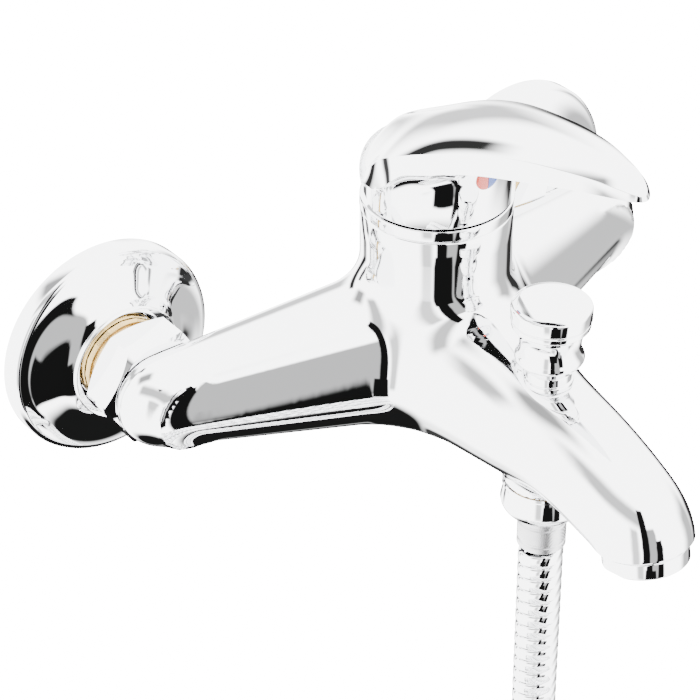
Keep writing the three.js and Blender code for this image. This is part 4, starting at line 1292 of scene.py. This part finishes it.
@dataclass
class ShowerHose:
    """The ribbed metal hose that hangs from the boss, looped and coiled beside it, with its ends."""

    radius: float = 6.4
    groove: float = 0.75
    pitch: float = 4.3
    rib_steps: int = 8
    segments: int = 32
    drop_end: float = -172.0
    bend_radius: float = 53.5
    coil_radius: float = 72.0
    coil_x: float = -35.0
    tail_end: float = -213.0

    def __post_init__(self) -> None:
        """Takes the hose's start from the frame."""
        self.start = centre("hose_nut_top")
        self.first_z = corners("hose_ferrule_top")[0][2] - 0.2

    def line(self) -> Points:
        """The hose's centre line, from under the top ferrule to the end ferrule."""
        y = self.start[1]
        drop = [(0.0, y, z) for z in np.arange(self.first_z, self.drop_end, -2.0)]
        angles = np.linspace(0, math.pi, 90)
        centre_x = -self.bend_radius
        bend = [
            (centre_x + self.bend_radius * math.cos(a), y, self.drop_end - self.bend_radius * math.sin(a))
            for a in angles
        ]
        turns = np.radians(np.linspace(0, 900, 620))[1:]
        coil = [
            (
                self.coil_x - self.coil_radius * math.cos(a),
                y - self.drift(math.degrees(a)),
                self.drop_end + self.coil_radius * math.sin(a),
            )
            for a in turns
        ]
        end = coil[-1]
        tail = [(end[0], end[1], z) for z in np.arange(self.drop_end - 2.0, self.tail_end, -2.0)]
        return np.array([*drop, *bend, *coil, *tail, (end[0], end[1], self.tail_end)])

    @staticmethod
    def drift(angle: float) -> float:
        """How far the coil has moved towards the front after that many degrees."""
        if angle < 90:
            share = angle / 90
            return 13.6 * share * share * (3 - 2 * share)
        return 13.6 + 13.53 * (angle - 90) / 360

    def frames(self, line: Points, distances: Points) -> tuple[Points, Points, Points]:
        """Points along the line, with two directions square to it that don't twist."""
        steps = np.linalg.norm(np.diff(line, axis=0), axis=1)
        along = np.concatenate([[0.0], np.cumsum(steps)])
        dense = np.linspace(0, along[-1], 6000)
        places = np.stack([np.interp(dense, along, line[:, k]) for k in range(3)], 1)
        tangents = np.gradient(places, axis=0)
        tangents /= np.linalg.norm(tangents, axis=1)[:, None]
        side = np.array([1.0, 0.0, 0.0])
        sides = np.zeros_like(places)
        for i, tangent in enumerate(tangents):
            side = side - tangent * (side @ tangent)
            side /= np.linalg.norm(side)
            sides[i] = side
        ups = np.cross(tangents, sides)

        def read(values: Points) -> Points:
            """The values at the wanted distances."""
            return np.stack([np.interp(distances, dense, values[:, k]) for k in range(3)], 1)

        return read(places), read(sides), read(ups)

    def tube(self, line: Points) -> Shape:
        """The hose: one helical strip of rounded bands with narrow grooves between them."""
        length = np.linalg.norm(np.diff(line, axis=0), axis=1).sum()
        rows = int(length / self.pitch) * self.rib_steps
        phases = np.array([0.0, 0.07, 0.16, 0.32, 0.5, 0.68, 0.84, 0.93])
        row = np.arange(rows)
        s = (row // self.rib_steps + phases[row % self.rib_steps]) * self.pitch
        wave = np.abs(2 * phases[row % self.rib_steps] - 1)
        r = self.radius - self.groove * wave**5
        turn = np.arange(self.segments) / self.segments
        distance = np.minimum(s[:, None] + self.pitch * turn[None, :], length).ravel()
        radius = np.repeat(r, self.segments)
        angle = np.tile(turn * 2 * math.pi, rows)
        place, side, up = self.frames(line, distance)
        out = np.cos(angle)[:, None] * side + np.sin(angle)[:, None] * up
        faces = []
        for k in range(rows - 1):
            for j in range(self.segments):
                following = (k + (j + 1) // self.segments * self.rib_steps) * self.segments
                if following // self.segments + 1 >= rows:
                    continue
                beside = following + (j + 1) % self.segments
                first = k * self.segments + j
                faces.append((first, beside, beside + self.segments, first + self.segments))
        return Shape(place + out * radius[:, None], faces)

    def build(self) -> None:
        line = self.line()
        hose = self.tube(line).piece("ribbed_hose", Slot.CHROME, Body.ROOT, 40)
        show_instead(hose, "shower_hose", "hose_coil", "hose_tail")
        ends = [
            self.nut("hose_nut_top", Body.ROOT, 1),
            self.nut("hose_nut_end", Body.END_NUT, -1),
            self.ferrule("hose_ferrule_top", 1),
            self.ferrule("hose_ferrule_end", -1),
            self.tie("hose_tie_left"),
            self.tie("hose_tie_right"),
        ]

    def nut(self, node: str, body: Body, way: int) -> bpy.types.Object:
        """A domed nut; its dome is towards the hose.

        Args:
            node: The CAD node that it replaces.
            body: The body that carries it.
            way: 1 if the dome points down, -1 if it points up.

        Returns:
            The nut.
        """
        low, high = corners(node)
        dome = Curve([
            (11.9, -6.0), (11.6, -7.4), (10.8, -8.7), (9.6, -9.7), (8.3, -10.3), (7.4, -10.55),
        ]).spread(18)
        outline = rounded([(10.2, 0, 0.2), (11.5, 0, 0.45), (11.9, -0.9, 0.5)])
        outline += [tuple(p) for p in dome]
        outline += [(7.1, -10.5), (7.05, -8.9), (10.2, -8.6)]
        place = centre(node)
        seat = high[2] if way > 0 else low[2]
        flipped = [(r, h * way) for r, h in outline]
        shape = Shape.turned(flipped, 112).moved(place[0], place[1], seat)
        return show_instead(shape.piece(node + "_domed", Slot.CHROME, body, 28), node)

    def ferrule(self, node: str, way: int) -> bpy.types.Object:
        """The crimped sleeve that holds the hose, with two rolled grooves."""
        low, high = corners(node)
        place = centre(node)
        length = 11.0
        outer, rolled = 6.9, 6.62
        outline = [(5.2, 0.0), (outer, 0.0)]
        for middle in (2.6, length - 2.4):
            groove = ((outer, -0.6), (rolled, -0.25), (rolled, 0.25), (outer, 0.6))
            outline += [(r, -(middle + step)) for r, step in groove]
        outline += [(outer, -(length - 0.35)), (6.6, -length), (6.15, -length), (6.05, -(length - 0.8))]
        outline += [(5.2, -(length - 0.9))]
        seat = low[2] + length if way > 0 else high[2] - length
        flipped = [(r, h * way) for r, h in outline]
        shape = Shape.turned(flipped, 96).moved(place[0], place[1], seat)
        return show_instead(shape.piece(node + "_sleeve", Slot.STEEL, Body.ROOT, 28), node)

    def tie(self, node: str) -> bpy.types.Object:
        """A band round the bundle, with softened edges."""
        low, high = corners(node)
        middle, half = (low + high) / 2, (high - low) / 2
        thickness = 1.1
        radius = half[0] - 0.1
        straight = half[1] - half[0]
        loop = []
        for a in np.linspace(0, 2 * math.pi, 97)[:-1]:
            flat = np.array([math.cos(a), math.sin(a)])
            loop.append((flat * radius + np.array([0, math.copysign(straight, flat[1])]), flat))
        profile = rounded([
            (0, -half[2], 0.2), (0, half[2], 0.2), (-thickness, half[2], 0.2), (-thickness, -half[2], 0.2),
        ], 3)
        rings = [
            np.array([(*(place + out * depth), z) for depth, z in profile]) for place, out in loop
        ]
        band = Shape.rings(rings, closed=True).moved(*middle)
        return show_instead(band.piece(node + "_band", Slot.STRAP, Body.ROOT, 40), node)


# ---------------------------------------------------------------- springs


@dataclass
class Spring:
    """A wound wire spring, wound to fit its node's box.

    Attributes:
        node: The CAD node that it replaces.
        joint: The joint that presses it. Not used.
        travel: How far the joint presses it, in millimetres. Not used.
        pressed_from: 1 if its lower end moves up, -1 if its upper end moves down. Not used.
        wire: The wire's thickness.
        turns: How many turns it has.
    """

    node: str
    joint: str
    travel: float
    pressed_from: int
    wire: float
    turns: float

    def build(self) -> None:
        """Makes the spring from its node's box."""
        low, high = corners(self.node)
        place = centre(self.node)
        radius = (high[0] - low[0] - self.wire) / 2
        height = high[2] - low[2]
        steps = int(self.turns * 28)
        turn = np.linspace(0, 2 * math.pi * self.turns, steps)
        share = np.clip((turn / (2 * math.pi) - 1) / (self.turns - 2), 0, 1)
        rise = low[2] + self.wire / 2 + share * (height - self.wire)
        around = np.linspace(0, 2 * math.pi, 9)[:-1]
        rings = []
        for angle, z in zip(turn, rise):
            out = radius + self.wire / 2 * np.cos(around)
            up = z + self.wire / 2 * np.sin(around)
            rings.append(np.stack([out * math.cos(angle), out * math.sin(angle), up], 1))
        wound = Shape.rings(rings).moved(place[0], place[1])
        made = wound.piece(self.node + "_wire", Slot.STEEL, Body.ROOT, 60)
        show_instead(made, self.node)
        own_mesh(made)


# ---------------------------------------------------------------- inside pieces


class Innards:
    """The pieces that stay as the CAD made them, each in its own finish."""

    def dress(self) -> None:
        """Gives every CAD node that is still shown the finish of its slot."""
        slots = {row["node"]: Slot(row["material_slot"]) for row in frame["record"]["subparts"]}
        for name, node in frame["nodes"].items():
            material = FINISHES[slots[name]].material()
            for holder in node.material_slots:
                holder.material = material


# ---------------------------------------------------------------- studio


@dataclass(frozen=True)
class Panel:
    """A soft-edged bright or dark patch of the studio, infinitely far away.

    Attributes:
        azimuth: Its bearing in degrees, from +X towards +Y.
        elevation: Its height in degrees.
        width: Its whole width in degrees.
        height: Its whole height in degrees.
        level: Its brightness.
        soft: The width of its edge in degrees.
        roll: How far it is turned about its own middle, in degrees.
    """

    azimuth: float
    elevation: float
    width: float
    height: float
    level: float
    soft: float = 6.0
    roll: float = 0.0

    def axes(self) -> tuple[Vector, Vector, Vector]:
        """Its direction, and the directions across and up it."""
        az, el = math.radians(self.azimuth), math.radians(self.elevation)
        out = Vector((math.cos(az) * math.cos(el), math.sin(az) * math.cos(el), math.sin(el)))
        across = Vector((-math.sin(az), math.cos(az), 0.0))
        up = out.cross(across)
        turn = Matrix.Rotation(math.radians(self.roll), 3, out)
        return out, turn @ across, turn @ up


PANELS = (
    Panel(-157, 46, 56, 24, 1.6, 14),  # a paler screen high on the left
    Panel(-142, -4, 16, 62, 2.2, 9),
    Panel(-106, -6, 20, 74, 1.15, 5),  # a grey screen between two dark stands
    Panel(-121, 4, 15, 104, 0.015, 3),
    Panel(-118, -34, 24, 30, 0.015, 3),
    Panel(-93, -22, 14, 70, 0.015, 3),
    Panel(-13, -16, 34, 54, 1.3, 22),  # a soft shade on the right
    Panel(27, -27, 46, 34, 0.06, 13),
    Panel(58, -50, 30, 26, 0.08, 10),
    Panel(54, -35, 26, 20, 0.10, 8),  # the shade that outlines every edge
    Panel(62, 6, 30, 30, 1.9, 16),
    Panel(96, 2, 13, 74, 0.06, 7),  # the dark doorway behind
    Panel(114, -6, 8, 40, 0.12, 5),
    Panel(132, 56, 22, 34, 0.9, 14),
)


@dataclass
class Studio:
    """A pale sweep of floor under an even studio light, with the patches that metal mirrors."""

    floor_height: float = -0.50
    sky: float = 9.5
    ground: float = 0.02
    horizon: tuple[float, float] = (-0.91, -0.80)
    backdrop: tuple[float, float, float] = (1.0, 1.0, 1.0)
    backdrop_level: float = 18.0
    panels: tuple[Panel, ...] = PANELS

    def build(self) -> None:
        """Makes the floor and the world."""
        self.floor()
        self.world()

    def floor(self) -> None:
        """The plain pale floor, which metal doesn't mirror."""
        size = 6.0
        mesh = bpy.data.meshes.new("floor")
        square = [(-size, -size, 0), (size, -size, 0), (size, size, 0), (-size, size, 0)]
        mesh.from_pydata(square, [], [(0, 1, 2, 3)])
        made = bpy.data.objects.new("floor", mesh)
        made.location.z = self.floor_height
        bpy.context.scene.collection.objects.link(made)
        paper = Moulded("floor_paper", (0.93, 0.93, 0.93), (0.9, 0.9, 0.9), 0.9, 0.05, 60.0, 0.0002)
        mesh.materials.append(paper.material())
        made.visible_glossy = False
        made.visible_camera = False

    def world(self) -> None:
        """The light from every side: a level for the sky and the ground, and the panels."""
        world = bpy.data.worlds.new("studio")
        bpy.context.scene.world = world
        world.use_nodes = True
        graph = ShaderGraph(world.node_tree)
        direction = graph.node("ShaderNodeTexCoord", output="Generated")
        height = graph.node("ShaderNodeSeparateXYZ", inputs={0: direction}, output="Z")
        level = graph.node(
            "ShaderNodeMapRange",
            {"interpolation_type": "SMOOTHSTEP"},
            {
                "Value": height, "From Min": self.horizon[0], "From Max": self.horizon[1],
                "To Min": self.ground, "To Max": self.sky,
            },
        )
        for panel in self.panels:
            level = self.painted(graph, direction, level, panel)
        lit = graph.node("ShaderNodeBackground", inputs={"Strength": level})
        seen = graph.node(
            "ShaderNodeBackground", inputs={"Color": (*self.backdrop, 1.0), "Strength": self.backdrop_level}
        )
        camera = graph.node("ShaderNodeLightPath", output="Is Camera Ray")
        both = graph.node("ShaderNodeMixShader", inputs={0: camera, 1: lit, 2: seen})
        graph.node_output("ShaderNodeOutputWorld", both)

    def painted(self, graph: ShaderGraph, direction: Link, below: Link, panel: Panel) -> Link:
        """The light with one more panel over it."""
        out, across, up = panel.axes()

        def along(axis: Vector) -> Link:
            """How far the direction goes along an axis."""
            settings = {"operation": "DOT_PRODUCT"}
            return graph.node("ShaderNodeVectorMath", settings, {0: direction, 1: tuple(axis)}, "Value")

        ahead = along(out)
        facing = graph.node("ShaderNodeMath", {"operation": "GREATER_THAN"}, {0: ahead, 1: 0.01})
        cover = facing
        for axis, size in ((across, panel.width), (up, panel.height)):
            angle = graph.node("ShaderNodeMath", {"operation": "ARCTAN2"}, {0: along(axis), 1: ahead})
            size_away = graph.node("ShaderNodeMath", {"operation": "ABSOLUTE"}, {0: angle})
            half, soft = math.radians(size) / 2, math.radians(panel.soft) / 2
            cover = cover * graph.node(
                "ShaderNodeMapRange",
                {"interpolation_type": "SMOOTHSTEP"},
                {
                    "Value": size_away, "From Min": half + soft, "From Max": max(half - soft, 0.0),
                    "To Min": 0.0, "To Max": 1.0,
                },
            )
        return below * (1.0 - cover) + cover * panel.level


@dataclass(frozen=True)
class View:
    """The camera's place, in millimetres and degrees."""

    azimuth: float = -36.92
    elevation: float = 34.62
    roll: float = -0.26
    target: tuple[float, float, float] = (-39.48, -70.0, 20.18)
    distance: float = 721.65
    lens: float = 138.32

    def build(self) -> None:
        """Makes the camera and makes it the scene's own."""
        az, el, roll = (math.radians(a) for a in (self.azimuth, self.elevation, self.roll))
        back = Vector((math.sin(az) * math.cos(el), -math.cos(az) * math.cos(el), math.sin(el)))
        right = Vector((math.cos(az), math.sin(az), 0.0))
        up = back.cross(right)
        across = right * math.cos(roll) + up * math.sin(roll)
        above = up * math.cos(roll) - right * math.sin(roll)
        data = bpy.data.cameras.new("view")
        data.lens = self.lens
        data.sensor_width = 36.0
        made = bpy.data.objects.new("view", data)
        bpy.context.scene.collection.objects.link(made)
        place = (Vector(self.target) + back * self.distance) * MM
        made.matrix_world = Matrix.Translation(place) @ Matrix((across, above, back)).transposed().to_4x4()
        bpy.context.scene.camera = made


@dataclass
class BathMixer:
    """The whole object."""

    hose: ShowerHose = field(default_factory=ShowerHose)
    casting: Casting = field(default_factory=Casting)
    connections: tuple[WallConnection, ...] = (WallConnection("left"), WallConnection("right"))
    collar: Collar = field(default_factory=Collar)
    lever: Lever = field(default_factory=Lever)
    diverter: Diverter = field(default_factory=Diverter)
    aerator: Aerator = field(default_factory=Aerator)
    springs: tuple[Spring, ...] = (
        Spring("diverter_spring", "diverter_pull", 8.0, 1, 0.8, 8.0),
        Spring("check_spring", "check_valve_slide", 3.0, -1, 0.3, 4.0),
    )
    innards: Innards = field(default_factory=Innards)

    def build(self) -> None:
        """Makes every piece, the hose first."""
        metalwork = (self.casting, *self.connections, self.collar, self.lever, self.diverter, self.aerator)
        for group in (self.hose, *metalwork, *self.springs):
            group.build()
        self.innards.dress()


def main() -> None:
    """Builds the scene."""
    logging.basicConfig(level=logging.INFO, format="%(message)s")
    View().build()
    BathMixer().build()
    Studio().build()


if __name__ == "__main__":
    main()
